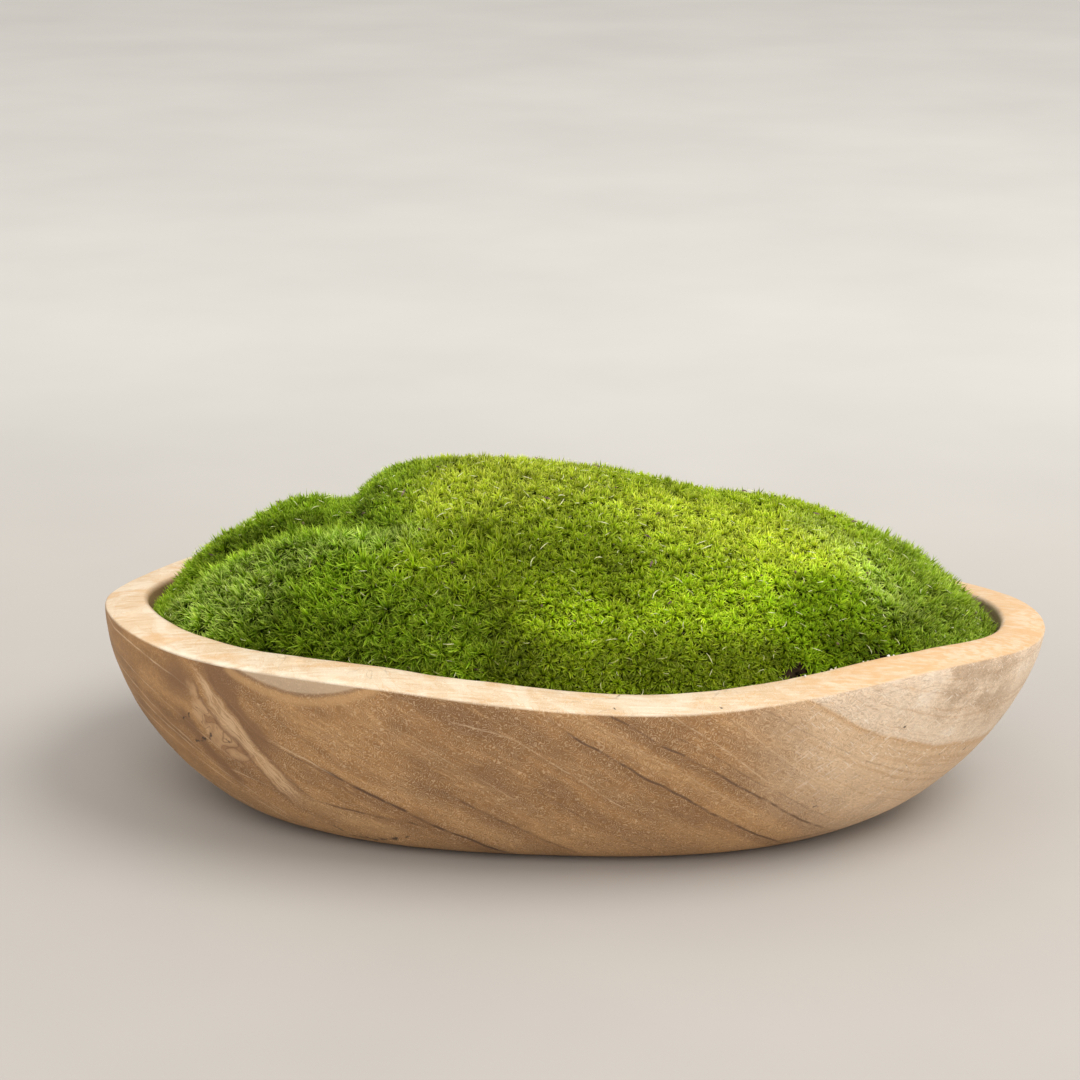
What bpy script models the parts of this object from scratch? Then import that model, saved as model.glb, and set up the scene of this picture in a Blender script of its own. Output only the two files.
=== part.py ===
"""Moss bowl garden: an oval bowl carved from one block of wood, filled with a mound of
soil, and five cushions of living moss laid edge to edge over the soil.

Metres, +Z up. The bowl's length lies along X, its front faces -Y, and it stands on Z = 0
with the origin under the middle of the whole object.
"""
import math
import random

import bmesh
import bpy
from mathutils import Vector

OBJECT_NAME = "moss_bowl_garden"

# Bowl
BOWL_HALF_LENGTH = 0.2000
BOWL_HALF_WIDTH = 0.1210
RIM_HEIGHT = 0.0780
RIM_THICKNESS = 0.0185
RIM_RISE_INWARD = 0.0020
RIM_EDGE_ROUNDING = 0.0028
RIM_EDGE_ANGLE = 55.0
SMOOTH_ANGLE = 50.0
FLOOR_THICKNESS = 0.0140
BOWL_STEPS = 72
OUTER_RINGS = 9
OUTER_CROWDING = 2

# The outline is a superellipse, a little squarer at the foot than at the rim
RIM_SQUARENESS = 2.10
FOOT_SQUARENESS = 2.45

# The foot as a share of the rim, and how the wall curves out between the two
FOOT_LENGTH_SHARE = 0.625
FOOT_WIDTH_SHARE = 0.645
FOOT_SHIFT_X = -0.0050
LENGTH_CURVE = (1.63, 1.74)
WIDTH_CURVE = (1.40, 2.22)

# Hand-carved waves of the rim: height, waves round the rim, place of a crest in degrees
RIM_WAVES = (
    (0.0048, 1, -109.0),
    (0.0012, 2, -28.0),
    (0.0023, 3, -27.0),
    (0.0013, 4, -34.0),
    (0.0017, 6, 13.0),
)

# Levels, as shares of the rim's height, where the moss and the soil meet the wall
MOSS_EDGE_LEVEL = 0.89
SOIL_EDGE_LEVEL = 0.77
FLOOR_LEVEL = FLOOR_THICKNESS / RIM_HEIGHT
INNER_LEVELS = (1.0, MOSS_EDGE_LEVEL, SOIL_EDGE_LEVEL, 0.60, 0.44, 0.31, 0.22, FLOOR_LEVEL)

# Soil: its rise from the wall to the middle
SOIL_RISE = 0.0370
SOIL_RINGS = 5

# Clearances between pieces that touch
WALL_CLEARANCE = 0.0006
REST_CLEARANCE = 0.0006
SEAM_HALF_GAP = 0.00020

# The crest of the mound from end to end: X, height
RIDGE_Y = 0.0100
RIDGE = (
    (-0.180, 0.069),
    (-0.140, 0.078),
    (-0.110, 0.108),
    (-0.080, 0.131),
    (-0.045, 0.136),
    (0.010, 0.132),
    (0.055, 0.123),
    (0.095, 0.119),
    (0.130, 0.107),
    (0.155, 0.092),
    (0.180, 0.067),
)

# The mound's section across the bowl, between a circle and a square
SECTION_CURVE = (2.2, 1.9)

# Two lobes that rise out of the mound's left end: centre, half length, half width, turn in
# degrees, top height
LOBES = {
    "moss_back_left": (-0.110, 0.016, 0.069, 0.056, 10.0, 0.1175),
    "moss_front_left": (-0.088, -0.050, 0.105, 0.061, 17.0, 0.123),
}
LOBE_BASE = 0.0550
LOBE_ROUNDNESS = 0.55

# Cushions that lie in the mound's own surface: centre, half length, half width. Left of the
# crown's end, the moss belongs to the lobes
PATCHES = {
    "moss_fold": (-0.050, -0.078, 0.034, 0.044),
    "moss_right_end": (0.178, -0.004, 0.050, 0.105),
}
CROWN_LEFT_END = -0.102
CUSHIONS = ("moss_back_left", "moss_front_left", "moss_fold", "moss_right_end", "moss_crown")

# How the mound falls to the rim all round
EDGE_WIDTH = 0.0220
EDGE_RISE = 0.0400
EDGE_ROUNDNESS = 0.55
EDGE_LOWEST_RISE = 0.0060

# Cells of the moss surface, crowded towards the wall, where the moss is steep
CELLS_LONG = 52
CELLS_WIDE = 30
CELL_CROWDING = 1.3
CELL_JITTER = 0.0018

# Tufts: each cell is drawn up to a point, from a little below the mound's height. The height
# varies by the spread, and the point strays to one side
TUFT_HEIGHT = 0.0048
TUFT_SPREAD = 0.0014
TUFT_STRAY = 0.0011
TUFT_ROOT_DEPTH = 0.0025

# Held tufts, on a cushion's edge and past this share of the way to the wall: how far they may
# lean towards their cell's side, and the least share of their height that they rise
TUFT_FREE_SHARE = 0.92
TUFT_ROOM = 0.7
TUFT_LEAST_SHARE = 0.5

# Seams between cushions: how far their edges sink, and the sharpest corner of an edge that is
# still drawn in by the whole gap
SEAM_DEPTH = 0.0025
SEAM_CORNER = 0.8

# Rounds of giving stray cells to the cushion round them
SETTLE_PASSES = 12

# Random draws start from this number
SEED = 11

# Colours: base colour, roughness
WOOD_LOOK = ((0.42, 0.25, 0.12), 0.55)
SOIL_LOOK = ((0.035, 0.022, 0.014), 0.95)
MOSS_LOOK = ((0.16, 0.30, 0.02), 0.85)


def clear_scene():
    """Remove every object, mesh and material that is already there."""
    for item in list(bpy.data.objects):
        bpy.data.objects.remove(item, do_unlink=True)
    for mesh in list(bpy.data.meshes):
        bpy.data.meshes.remove(mesh)
    for material in list(bpy.data.materials):
        bpy.data.materials.remove(material)


def new_collection(name):
    """A collection of this name, empty and linked to the scene."""
    found = bpy.data.collections.get(name)
    if found is not None:
        bpy.data.collections.remove(found)
    collection = bpy.data.collections.new(name)
    bpy.context.scene.collection.children.link(collection)
    return collection


def principled(name, look):
    """A plain Principled material with a base colour and a roughness."""
    colour, roughness = look
    material = bpy.data.materials.new(name)
    material.use_nodes = True
    shader = material.node_tree.nodes["Principled BSDF"]
    shader.inputs["Base Color"].default_value = (*colour, 1.0)
    shader.inputs["Roughness"].default_value = roughness
    shader.inputs["Metallic"].default_value = 0.0
    material.diffuse_color = (*colour, 1.0)
    return material


def point_outwards(bm):
    """Turn the faces of a closed body so that they all point out of it."""
    bmesh.ops.recalc_face_normals(bm, faces=bm.faces)
    if bm.calc_volume(signed=True) < 0:
        bmesh.ops.reverse_faces(bm, faces=bm.faces)


def add_object(name, bm, material, collection):
    """Make the bmesh into a named object in the collection."""
    point_outwards(bm)
    mesh = bpy.data.meshes.new(name)
    bm.to_mesh(mesh)
    bm.free()
    mesh.materials.append(material)
    made = bpy.data.objects.new(name, mesh)
    collection.objects.link(made)
    return made


def outline_point(angle, half_length, half_width, squareness):
    """A point of the superellipse outline at this angle."""
    c, s = math.cos(angle), math.sin(angle)
    x = math.copysign(abs(c) ** (2 / squareness), c)
    y = math.copysign(abs(s) ** (2 / squareness), s)
    return half_length * x, half_width * y


def rim_wave(angle):
    """How far the hand-carved rim stands above or below its mean height."""
    return sum(
        height * math.cos(count * (angle - math.radians(crest)))
        for height, count, crest in RIM_WAVES
    )


def rim_height(angle):
    return RIM_HEIGHT + rim_wave(angle)


def wall_share(level, foot_share, curve):
    """Half size at a level from 0, the foot, to 1, the rim, as a share of the rim's."""
    power, root = curve
    return foot_share + (1 - foot_share) * (1 - (1 - level) ** power) ** (1 / root)


def outer_half_sizes(level):
    return (
        BOWL_HALF_LENGTH * wall_share(level, FOOT_LENGTH_SHARE, LENGTH_CURVE),
        BOWL_HALF_WIDTH * wall_share(level, FOOT_WIDTH_SHARE, WIDTH_CURVE),
    )


def inner_half_sizes(level, clearance=0.0):
    """The cavity's half sizes, the outer ones less the wall, which is thicker low down."""
    share = max(0.0, (level - FLOOR_LEVEL) / (1 - FLOOR_LEVEL))
    length, width = outer_half_sizes(share)
    return length - RIM_THICKNESS - clearance, width - RIM_THICKNESS - clearance


def squareness_at(level):
    return FOOT_SQUARENESS + (RIM_SQUARENESS - FOOT_SQUARENESS) * level


def ring(bm, level, half_sizes, steps, shift=0.0):
    """A ring of vertices round the bowl at a level, which follows the rim's waves."""
    made = []
    for i in range(steps):
        angle = 2 * math.pi * i / steps
        x, y = outline_point(angle, *half_sizes, squareness_at(level))
        made.append(bm.verts.new((x + shift, y, level * rim_height(angle))))
    return made


def flatten(made, height):
    """Bring a ring to one height all round, as at the foot and the floor."""
    for vertex in made:
        vertex.co.z = height


def loft(bm, rings):
    """Faces between each ring and the next, with a flat cap on the first and the last."""
    for near, far in zip(rings, rings[1:]):
        count = len(near)
        for i in range(count):
            j = (i + 1) % count
            bm.faces.new((near[i], near[j], far[j], far[i]))
    bm.faces.new(rings[0])
    bm.faces.new(rings[-1])


def make_bowl(material, collection):
    """One lofted shell: inner floor, inner wall, rim, outer wall and foot."""
    bm = bmesh.new()
    inner = [ring(bm, level, inner_half_sizes(level), BOWL_STEPS) for level in INNER_LEVELS]
    flatten(inner[-1], FLOOR_THICKNESS)
    for vertex in inner[0]:
        vertex.co.z += RIM_RISE_INWARD
    outer = []
    for i in range(OUTER_RINGS + 1):
        level = (1 - i / OUTER_RINGS) ** OUTER_CROWDING
        shift = FOOT_SHIFT_X * (1 - level)
        outer.append(ring(bm, level, outer_half_sizes(level), BOWL_STEPS, shift=shift))
    loft(bm, inner[::-1] + outer)
    bowl = add_object("bowl", bm, material, collection)
    rounding = bowl.modifiers.new("rim edges", "BEVEL")
    rounding.limit_method = "ANGLE"
    rounding.angle_limit = math.radians(RIM_EDGE_ANGLE)
    rounding.width = RIM_EDGE_ROUNDING
    rounding.segments = 2
    bowl.data.shade_smooth()
    bowl.data.set_sharp_from_angle(angle=math.radians(SMOOTH_ANGLE))
    return bowl


def soil_height(angle, share):
    """The soil's top at a share of the way from the middle, 0, to the wall, 1."""
    edge = SOIL_EDGE_LEVEL * (RIM_HEIGHT + rim_wave(angle) * share * share)
    return edge + SOIL_RISE * (1 - share * share)


def make_soil(material, collection):
    """The bed of soil: a low dome that fills the bowl just under the moss."""
    bm = bmesh.new()
    steps = BOWL_STEPS // 2
    length, width = inner_half_sizes(SOIL_EDGE_LEVEL, WALL_CLEARANCE)
    rings = []
    for i in range(1, SOIL_RINGS + 1):
        share = i / SOIL_RINGS
        made = ring(bm, SOIL_EDGE_LEVEL, (length * share, width * share), steps)
        for k, vertex in enumerate(made):
            vertex.co.z = soil_height(2 * math.pi * k / steps, share)
        rings.append(made)
    for level in INNER_LEVELS:
        if level < SOIL_EDGE_LEVEL:
            rings.append(ring(bm, level, inner_half_sizes(level, WALL_CLEARANCE), steps))
    flatten(rings[-1], FLOOR_THICKNESS + REST_CLEARANCE)
    loft(bm, rings)
    soil = add_object("soil", bm, material, collection)
    soil.data.shade_smooth()
    return soil


def moss_edge_sizes():
    """The half sizes of the oval that the moss fills, where it meets the wall."""
    return inner_half_sizes(MOSS_EDGE_LEVEL, WALL_CLEARANCE)


def plan_share(x, y):
    """How far out a point of the plan lies: 0 in the middle, 1 where the moss ends."""
    length, width = moss_edge_sizes()
    power = squareness_at(MOSS_EDGE_LEVEL)
    return (abs(x / length) ** power + abs(y / width) ** power) ** (1 / power)


def plan_angle(x, y):
    """The outline's angle that a point of the plan lies at."""
    length, width = moss_edge_sizes()
    half_power = squareness_at(MOSS_EDGE_LEVEL) / 2
    along = math.copysign(abs(x / length) ** half_power, x)
    across = math.copysign(abs(y / width) ** half_power, y)
    return math.atan2(across, along)


def crest_height(x):
    """The height of the mound's crest at X, along a smooth curve through its points."""
    places = [point[0] for point in RIDGE]
    heights = [point[1] for point in RIDGE]
    last = len(RIDGE) - 1
    slopes = []
    for i in range(last + 1):
        low, high = max(0, i - 1), min(last, i + 1)
        slopes.append((heights[high] - heights[low]) / (places[high] - places[low]))
    i = max(k for k in range(last) if k == 0 or places[k] <= x)
    step = places[i + 1] - places[i]
    t = min(1.0, max(0.0, (x - places[i]) / step))
    start = (2 * t ** 3 - 3 * t ** 2 + 1) * heights[i] + (t ** 3 - 2 * t ** 2 + t) * step * slopes[i]
    end = (3 * t ** 2 - 2 * t ** 3) * heights[i + 1] + (t ** 3 - t ** 2) * step * slopes[i + 1]
    return start + end


def mound_height(x, y):
    """The mound without its lobes: a rounded section under the crest at each X."""
    length, width = moss_edge_sizes()
    power = squareness_at(MOSS_EDGE_LEVEL)
    half = width * max(0.0, 1 - abs(x / length) ** power) ** (1 / power)
    crest_y = min(RIDGE_Y, half / 2)
    side = half - crest_y if y > crest_y else half + crest_y
    out = min(1.0, abs(y - crest_y) / max(side, WALL_CLEARANCE))
    wall = MOSS_EDGE_LEVEL * rim_height(plan_angle(x, y))
    power, root = SECTION_CURVE
    return wall + (crest_height(x) - wall) * (1 - out ** power) ** (1 / root)


def oval_share(x, y, centre_x, centre_y, half_length, half_width, turn=0.0):
    """How far out of a turned oval a point lies: 0 at its centre, 1 at its edge."""
    c, s = math.cos(math.radians(turn)), math.sin(math.radians(turn))
    along = ((x - centre_x) * c + (y - centre_y) * s) / half_length
    across = ((y - centre_y) * c - (x - centre_x) * s) / half_width
    return math.hypot(along, across)


def lobe_height(name, x, y):
    """The height of one rounded lobe over a point of the plan."""
    *oval, top = LOBES[name]
    left = max(0.0, 1 - oval_share(x, y, *oval) ** 2)
    return LOBE_BASE + (top - LOBE_BASE) * left ** LOBE_ROUNDNESS


def cushion_at(x, y):
    """The name of the cushion that covers this point of the plan."""
    heights = {name: lobe_height(name, x, y) for name in LOBES}
    highest = max(heights, key=heights.get)
    shares = {name: oval_share(x, y, *oval) for name, oval in PATCHES.items()}
    nearest = min(shares, key=shares.get)
    if shares[nearest] < 1:
        return nearest
    if x < CROWN_LEFT_END or heights[highest] > mound_height(x, y):
        return highest
    return "moss_crown"


def moss_height(x, y):
    """The moss surface: the highest of mound and lobes, rounded down to the rim all round."""
    highest = max([mound_height(x, y)] + [lobe_height(name, x, y) for name in LOBES])
    inward = (1 - plan_share(x, y)) * moss_edge_sizes()[1]
    near = min(1.0, max(0.0, inward / EDGE_WIDTH))
    wall = MOSS_EDGE_LEVEL * rim_height(plan_angle(x, y))
    edge = wall + EDGE_RISE * near ** EDGE_ROUNDNESS
    lowest = min(edge, wall + EDGE_LOWEST_RISE)
    if near < 1.0:
        highest = min(highest, edge)
    return max(highest, lowest)


def square_to_plan(u, v):
    """Map a point of the square from -1 to 1 onto the oval that the moss fills."""
    share = max(abs(u), abs(v))
    if share == 0:
        return 0.0, 0.0
    power = squareness_at(MOSS_EDGE_LEVEL)
    reach = (abs(u) ** power + abs(v) ** power) ** (1 / power)
    out = 1 - (1 - share) ** CELL_CROWDING
    length, width = moss_edge_sizes()
    return length * out * u / reach, width * out * v / reach


def moss_lattice():
    """The whole moss surface as one grid of cells, jittered and laid over the oval."""
    draw = random.Random(SEED)
    bm = bmesh.new()
    bmesh.ops.create_grid(bm, x_segments=CELLS_LONG, y_segments=CELLS_WIDE, size=1.0)
    for vertex in bm.verts:
        x, y = square_to_plan(vertex.co.x, vertex.co.y)
        freedom = 1 - plan_share(x, y) ** 2
        if not vertex.is_boundary:
            x += draw.uniform(-CELL_JITTER, CELL_JITTER) * freedom
            y += draw.uniform(-CELL_JITTER, CELL_JITTER) * freedom
        vertex.co = (x, y, moss_height(x, y) - TUFT_ROOT_DEPTH * freedom)
    return bm


def neighbours(face):
    """The cells that share an edge with this one."""
    return [other for edge in face.edges for other in edge.link_faces if other is not face]


def patches(bm, labels):
    """The connected groups of cells that have one label, largest first."""
    seen = set()
    found = []
    for face in bm.faces:
        if face in seen:
            continue
        group, queue = [], [face]
        seen.add(face)
        while queue:
            cell = queue.pop()
            group.append(cell)
            for other in neighbours(cell):
                if other not in seen and labels[other.index] == labels[face.index]:
                    seen.add(other)
                    queue.append(other)
        found.append(group)
    return sorted(found, key=len, reverse=True)


def commonest_around(cell, labels):
    """The label that most neighbours of this cell have, if it isn't the cell's own."""
    around = [labels[other.index] for other in neighbours(cell)]
    others = [label for label in around if label != labels[cell.index]]
    return max(sorted(set(others)), key=others.count) if others else labels[cell.index]


def corner_touches(bm, labels):
    """Cells that meet a cell of their own label at a corner only."""
    found = []
    for vertex in bm.verts:
        cells = list(vertex.link_faces)
        for cell in cells:
            same = [other for other in cells if labels[other.index] == labels[cell.index]]
            beside = [other for other in same if other in neighbours(cell)]
            if len(same) == 2 and not beside:
                found.append(cell)
                break
    return found


def settle_labels(bm, labels):
    """Give stray cells to the cushion round them, so that each cushion is in one piece."""
    for _ in range(SETTLE_PASSES):
        kept = set()
        for group in patches(bm, labels):
            label = labels[group[0].index]
            if label not in kept:
                kept.add(label)
                continue
            for cell in group:
                labels[cell.index] = commonest_around(cell, labels)
        for cell in bm.faces:
            around = [labels[other.index] for other in neighbours(cell)]
            if around.count(labels[cell.index]) < 2:
                labels[cell.index] = commonest_around(cell, labels)
        for cell in corner_touches(bm, labels):
            labels[cell.index] = commonest_around(cell, labels)


def inward_normals(bm):
    """For each boundary vertex, the plan directions from its boundary edges into the piece."""
    found = {}
    for edge in bm.edges:
        if not edge.is_boundary:
            continue
        start, end = edge.verts
        along = (end.co - start.co).to_2d().normalized()
        normal = Vector((-along.y, along.x))
        middle = (start.co + end.co).to_2d() / 2
        centre = edge.link_faces[0].calc_center_median().to_2d()
        if normal.dot(centre - middle) < 0:
            normal = -normal
        for vertex in edge.verts:
            found.setdefault(vertex, []).append(normal)
    return found


def open_seam(bm):
    """Draw the piece in from its neighbours and let its edge sink into the crease."""
    at_wall = 1 - WALL_CLEARANCE / moss_edge_sizes()[1]
    for vertex, normals in inward_normals(bm).items():
        in_crease = plan_share(vertex.co.x, vertex.co.y) < at_wall
        total = sum(normals, Vector((0.0, 0.0)))
        shift = total * (len(normals) * SEAM_HALF_GAP / max(SEAM_CORNER, total.length_squared))
        vertex.co.x += shift.x
        vertex.co.y += shift.y
        if in_crease:
            vertex.co.z -= SEAM_DEPTH


def underside(x, y):
    """The point of a cushion's underside below a point of its top, just above the soil."""
    top_length, top_width = moss_edge_sizes()
    length, width = inner_half_sizes(SOIL_EDGE_LEVEL, WALL_CLEARANCE)
    height = soil_height(plan_angle(x, y), min(1.0, plan_share(x, y))) + REST_CLEARANCE
    return x * length / top_length, y * width / top_width, height


def room_in_plan(vertex):
    """How far the middle of a poked cell can move in plan before it reaches a side."""
    middle = vertex.co.to_2d()
    room = []
    for face in vertex.link_faces:
        start, end = (corner.co.to_2d() for corner in face.verts if corner is not vertex)
        side = end - start
        across = Vector((-side.y, side.x)).normalized()
        room.append(abs((middle - start).dot(across)))
    return min(room)


def is_held(cell):
    """Whether a cell of an open cushion lies on its edge or near the wall."""
    centre = cell.calc_center_median()
    on_edge = any(vertex.is_boundary for vertex in cell.verts)
    return on_edge or plan_share(centre.x, centre.y) > TUFT_FREE_SHARE


def raise_tufts(bm, free, held, draw):
    """Draw each cell of the top up to a point, as a tuft of shoots.

    A tuft stands along the surface's normal and strays a little to one side. A held cell's
    tuft stays over its own cell, clear of the wall and of the next cushion.
    """
    for cells in (free, held):
        for vertex in bmesh.ops.poke(bm, faces=cells)["verts"]:
            normal = sum((face.normal for face in vertex.link_faces), Vector()).normalized()
            reach = TUFT_HEIGHT + draw.uniform(-TUFT_SPREAD, TUFT_SPREAD)
            stray = Vector((draw.uniform(-1, 1), draw.uniform(-1, 1), 0.0)) * TUFT_STRAY
            step = normal * reach + stray
            if cells is held:
                lean = step.to_2d()
                room = TUFT_ROOM * room_in_plan(vertex)
                if lean.length > room:
                    lean = lean.normalized() * room
                step = Vector((lean.x, lean.y, max(step.z, reach * TUFT_LEAST_SHARE)))
            vertex.co += step


def split_sides(bm, bottom):
    """Split each side by the same diagonal as the neighbour's facing side, to fit it."""
    for face in list(bm.faces):
        top = sorted((v for v in face.verts if v not in bottom), key=lambda v: v.co.z)
        if len(face.verts) == 4 and len(top) == 2:
            lower, upper = top
            below = next(v for v in face.verts if v in bottom and is_joined(v, lower))
            bmesh.utils.face_split(face, upper, below)


def is_joined(first, second):
    return any(edge.other_vert(first) is second for edge in first.link_edges)


def make_cushion(name, lattice, labels, material, collection):
    """One moss cushion: its cells of the lattice, given an underside and tufts."""
    bm = lattice.copy()
    bm.faces.ensure_lookup_table()
    others = [face for face in bm.faces if labels[face.index] != name]
    bmesh.ops.delete(bm, geom=others, context="FACES")
    open_seam(bm)
    tops = list(bm.faces)
    held = [cell for cell in tops if is_held(cell)]
    free = [cell for cell in tops if cell not in set(held)]
    grown = bmesh.ops.extrude_face_region(bm, geom=tops, use_keep_orig=True)
    bottom = {item for item in grown["geom"] if isinstance(item, bmesh.types.BMVert)}
    for vertex in bottom:
        vertex.co = underside(vertex.co.x, vertex.co.y)
    split_sides(bm, bottom)
    point_outwards(bm)
    raise_tufts(bm, free, held, random.Random(SEED + 1 + CUSHIONS.index(name)))
    return add_object(name, bm, material, collection)


def make_moss(material, collection):
    """All the cushions, each cut from the one lattice so that they meet edge to edge."""
    lattice = moss_lattice()
    lattice.faces.ensure_lookup_table()
    lattice.faces.index_update()
    labels = []
    for face in lattice.faces:
        centre = face.calc_center_median()
        labels.append(cushion_at(centre.x, centre.y))
    settle_labels(lattice, labels)
    for name in CUSHIONS:
        make_cushion(name, lattice, labels, material, collection)
    lattice.free()


def main():
    clear_scene()
    collection = new_collection(OBJECT_NAME)
    make_bowl(principled("wood", WOOD_LOOK), collection)
    make_soil(principled("soil", SOIL_LOOK), collection)
    make_moss(principled("moss", MOSS_LOOK), collection)


if __name__ == "__main__":
    main()
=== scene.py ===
"""Moss bowl garden: the looks of an oval bowl carved from one block of wood and filled with
living cushion moss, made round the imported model's frame.

Metres, +Z up. The bowl's length lies along X, its front faces -Y, and it stands on Z = 0.
"""
import math
import random
from collections import namedtuple
from types import SimpleNamespace

import bmesh
import bpy
import numpy as np
from mathutils import Matrix, Vector
from mathutils.bvhtree import BVHTree


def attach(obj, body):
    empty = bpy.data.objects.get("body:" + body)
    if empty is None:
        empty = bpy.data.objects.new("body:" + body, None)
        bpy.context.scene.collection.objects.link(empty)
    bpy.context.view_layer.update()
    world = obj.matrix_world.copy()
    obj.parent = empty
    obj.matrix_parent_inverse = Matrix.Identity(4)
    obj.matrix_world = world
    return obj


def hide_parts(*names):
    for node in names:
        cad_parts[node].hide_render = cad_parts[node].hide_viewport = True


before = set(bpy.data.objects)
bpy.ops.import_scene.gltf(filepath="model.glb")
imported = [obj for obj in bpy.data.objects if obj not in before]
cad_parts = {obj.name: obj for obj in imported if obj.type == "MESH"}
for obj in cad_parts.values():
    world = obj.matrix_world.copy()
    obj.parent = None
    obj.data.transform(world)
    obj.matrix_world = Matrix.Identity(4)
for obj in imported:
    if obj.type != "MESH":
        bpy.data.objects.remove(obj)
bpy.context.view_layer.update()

bl_info = {
    "name": "Moss Bowl Garden",
    "version": (1, 0, 0),
    "blender": (4, 5, 0),
    "location": "3D View > Sidebar > Moss Bowl",
    "description": "Dresses a carved wooden bowl of cushion moss: wood, soil, shoots and litter",
    "category": "Add Mesh",
}

BODY = "root"

# Bowl: the solid's own rule. The outline is a superellipse, squarer at the foot
FLOOR_THICKNESS = 0.0140
RIM_SQUARENESS = 2.10
FOOT_SQUARENESS = 2.45
FOOT_LENGTH_SHARE = 0.625
FOOT_WIDTH_SHARE = 0.645
FOOT_SHIFT_X = -0.0050
LENGTH_CURVE = (1.63, 1.74)
WIDTH_CURVE = (1.40, 2.22)
RIM_RISE_INWARD = 0.0020
RIM_CROWN = 0.0004
RIM_OUTER_ROUNDING = 0.0009
RIM_INNER_ROUNDING = 0.0024

# Waves of the rim: height, waves round the rim, place of a crest in degrees
RIM_WAVES = (
    (0.0048, 1, -109.0),
    (0.0012, 2, -28.0),
    (0.0023, 3, -27.0),
    (0.0013, 4, -34.0),
    (0.0017, 6, 13.0),
)

# The grain: the direction in which growth follows growth, the grain's own and the one across
GRAIN_FIELD = (0.585, 0.22, 1.0)
GRAIN_ALONG = (0.86, 0.0, -0.50)
GRAIN_ACROSS = (-0.10, 0.98, -0.17)

# Grain lines: start and end along the bowl, level there and there, half width, strength
DARK_LINES = (
    (0.004, 0.090, 0.0462, 0.0418, 0.0010, 0.85),
    (0.088, 0.112, 0.0422, 0.0600, 0.0010, 0.45),
    (0.018, 0.106, 0.0638, 0.0592, 0.0010, 0.75),
    (-0.042, 0.006, -0.0115, -0.0088, 0.0010, 0.55),
    (-0.094, -0.020, -0.0338, -0.0288, 0.0011, 0.95),
    (-0.111, -0.097, -0.0476, -0.0520, 0.0008, 0.70),
    (-0.097, -0.052, -0.0520, -0.0335, 0.0008, 0.70),
    (-0.136, -0.118, -0.0272, -0.0355, 0.0008, 0.40),
    (-0.118, -0.092, -0.0358, -0.0352, 0.0008, 0.50),
    (0.045, 0.110, 0.0690, 0.0660, 0.0007, 0.30),
    (-0.020, 0.050, 0.0130, 0.0100, 0.0008, 0.30),
    (0.060, 0.140, 0.0985, 0.1000, 0.0007, 0.22),
)
LIGHT_LINES = (
    (-0.192, -0.148, -0.0388, -0.0372, 0.0006, 0.95),
    (-0.140, -0.118, -0.0255, -0.0340, 0.0006, 0.80),
    (-0.118, -0.090, -0.0342, -0.0336, 0.0006, 0.80),
    (-0.190, -0.140, -0.0560, -0.0650, 0.0006, 0.75),
    (-0.140, -0.118, -0.0650, -0.0590, 0.0006, 0.60),
    (-0.188, -0.130, -0.0500, -0.0560, 0.0005, 0.60),
    (-0.185, -0.110, -0.0610, -0.0700, 0.0005, 0.65),
    (-0.185, -0.100, -0.0660, -0.0740, 0.0005, 0.65),
    (-0.180, -0.090, -0.0800, -0.0790, 0.0006, 0.55),
    (-0.038, -0.016, 0.0237, 0.0296, 0.0006, 0.60),
    (-0.016, 0.028, 0.0300, 0.0270, 0.0006, 0.60),
    (0.044, 0.084, 0.0775, 0.0702, 0.0006, 0.65),
    (0.064, 0.110, 0.0895, 0.0782, 0.0005, 0.60),
    (0.110, 0.128, 0.0782, 0.0835, 0.0005, 0.45),
    (0.020, 0.080, 0.0560, 0.0520, 0.0005, 0.40),
    (-0.060, -0.010, 0.0050, 0.0030, 0.0005, 0.30),
)
LIGHT_BANDS = (
    (-0.104, -0.060, -0.0565, -0.0430, 0.0050, 0.75),
    (0.010, 0.090, 0.0530, 0.0500, 0.0050, 0.45),
    (-0.070, -0.010, -0.0210, -0.0190, 0.0060, 0.35),
    (-0.100, 0.000, 0.0030, 0.0000, 0.0060, 0.30),
    (0.000, 0.080, 0.0320, 0.0300, 0.0050, 0.30),
)

# Torn grain under the rim at the right end, and the turns of the sanding scratches in degrees
TORN_PLACE = (0.1620, -0.0640, 0.0790)
TORN_REACH = 0.0340
HATCH_TURNS = (-37.0, 50.0)

# The knot: its middle, the way its flare runs and the way across that
KNOT = (-0.1380, -0.0875, 0.0530)
KNOT_ALONG = (0.63, -0.08, -0.77)
KNOT_ACROSS = (0.70, -0.35, 0.62)

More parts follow.
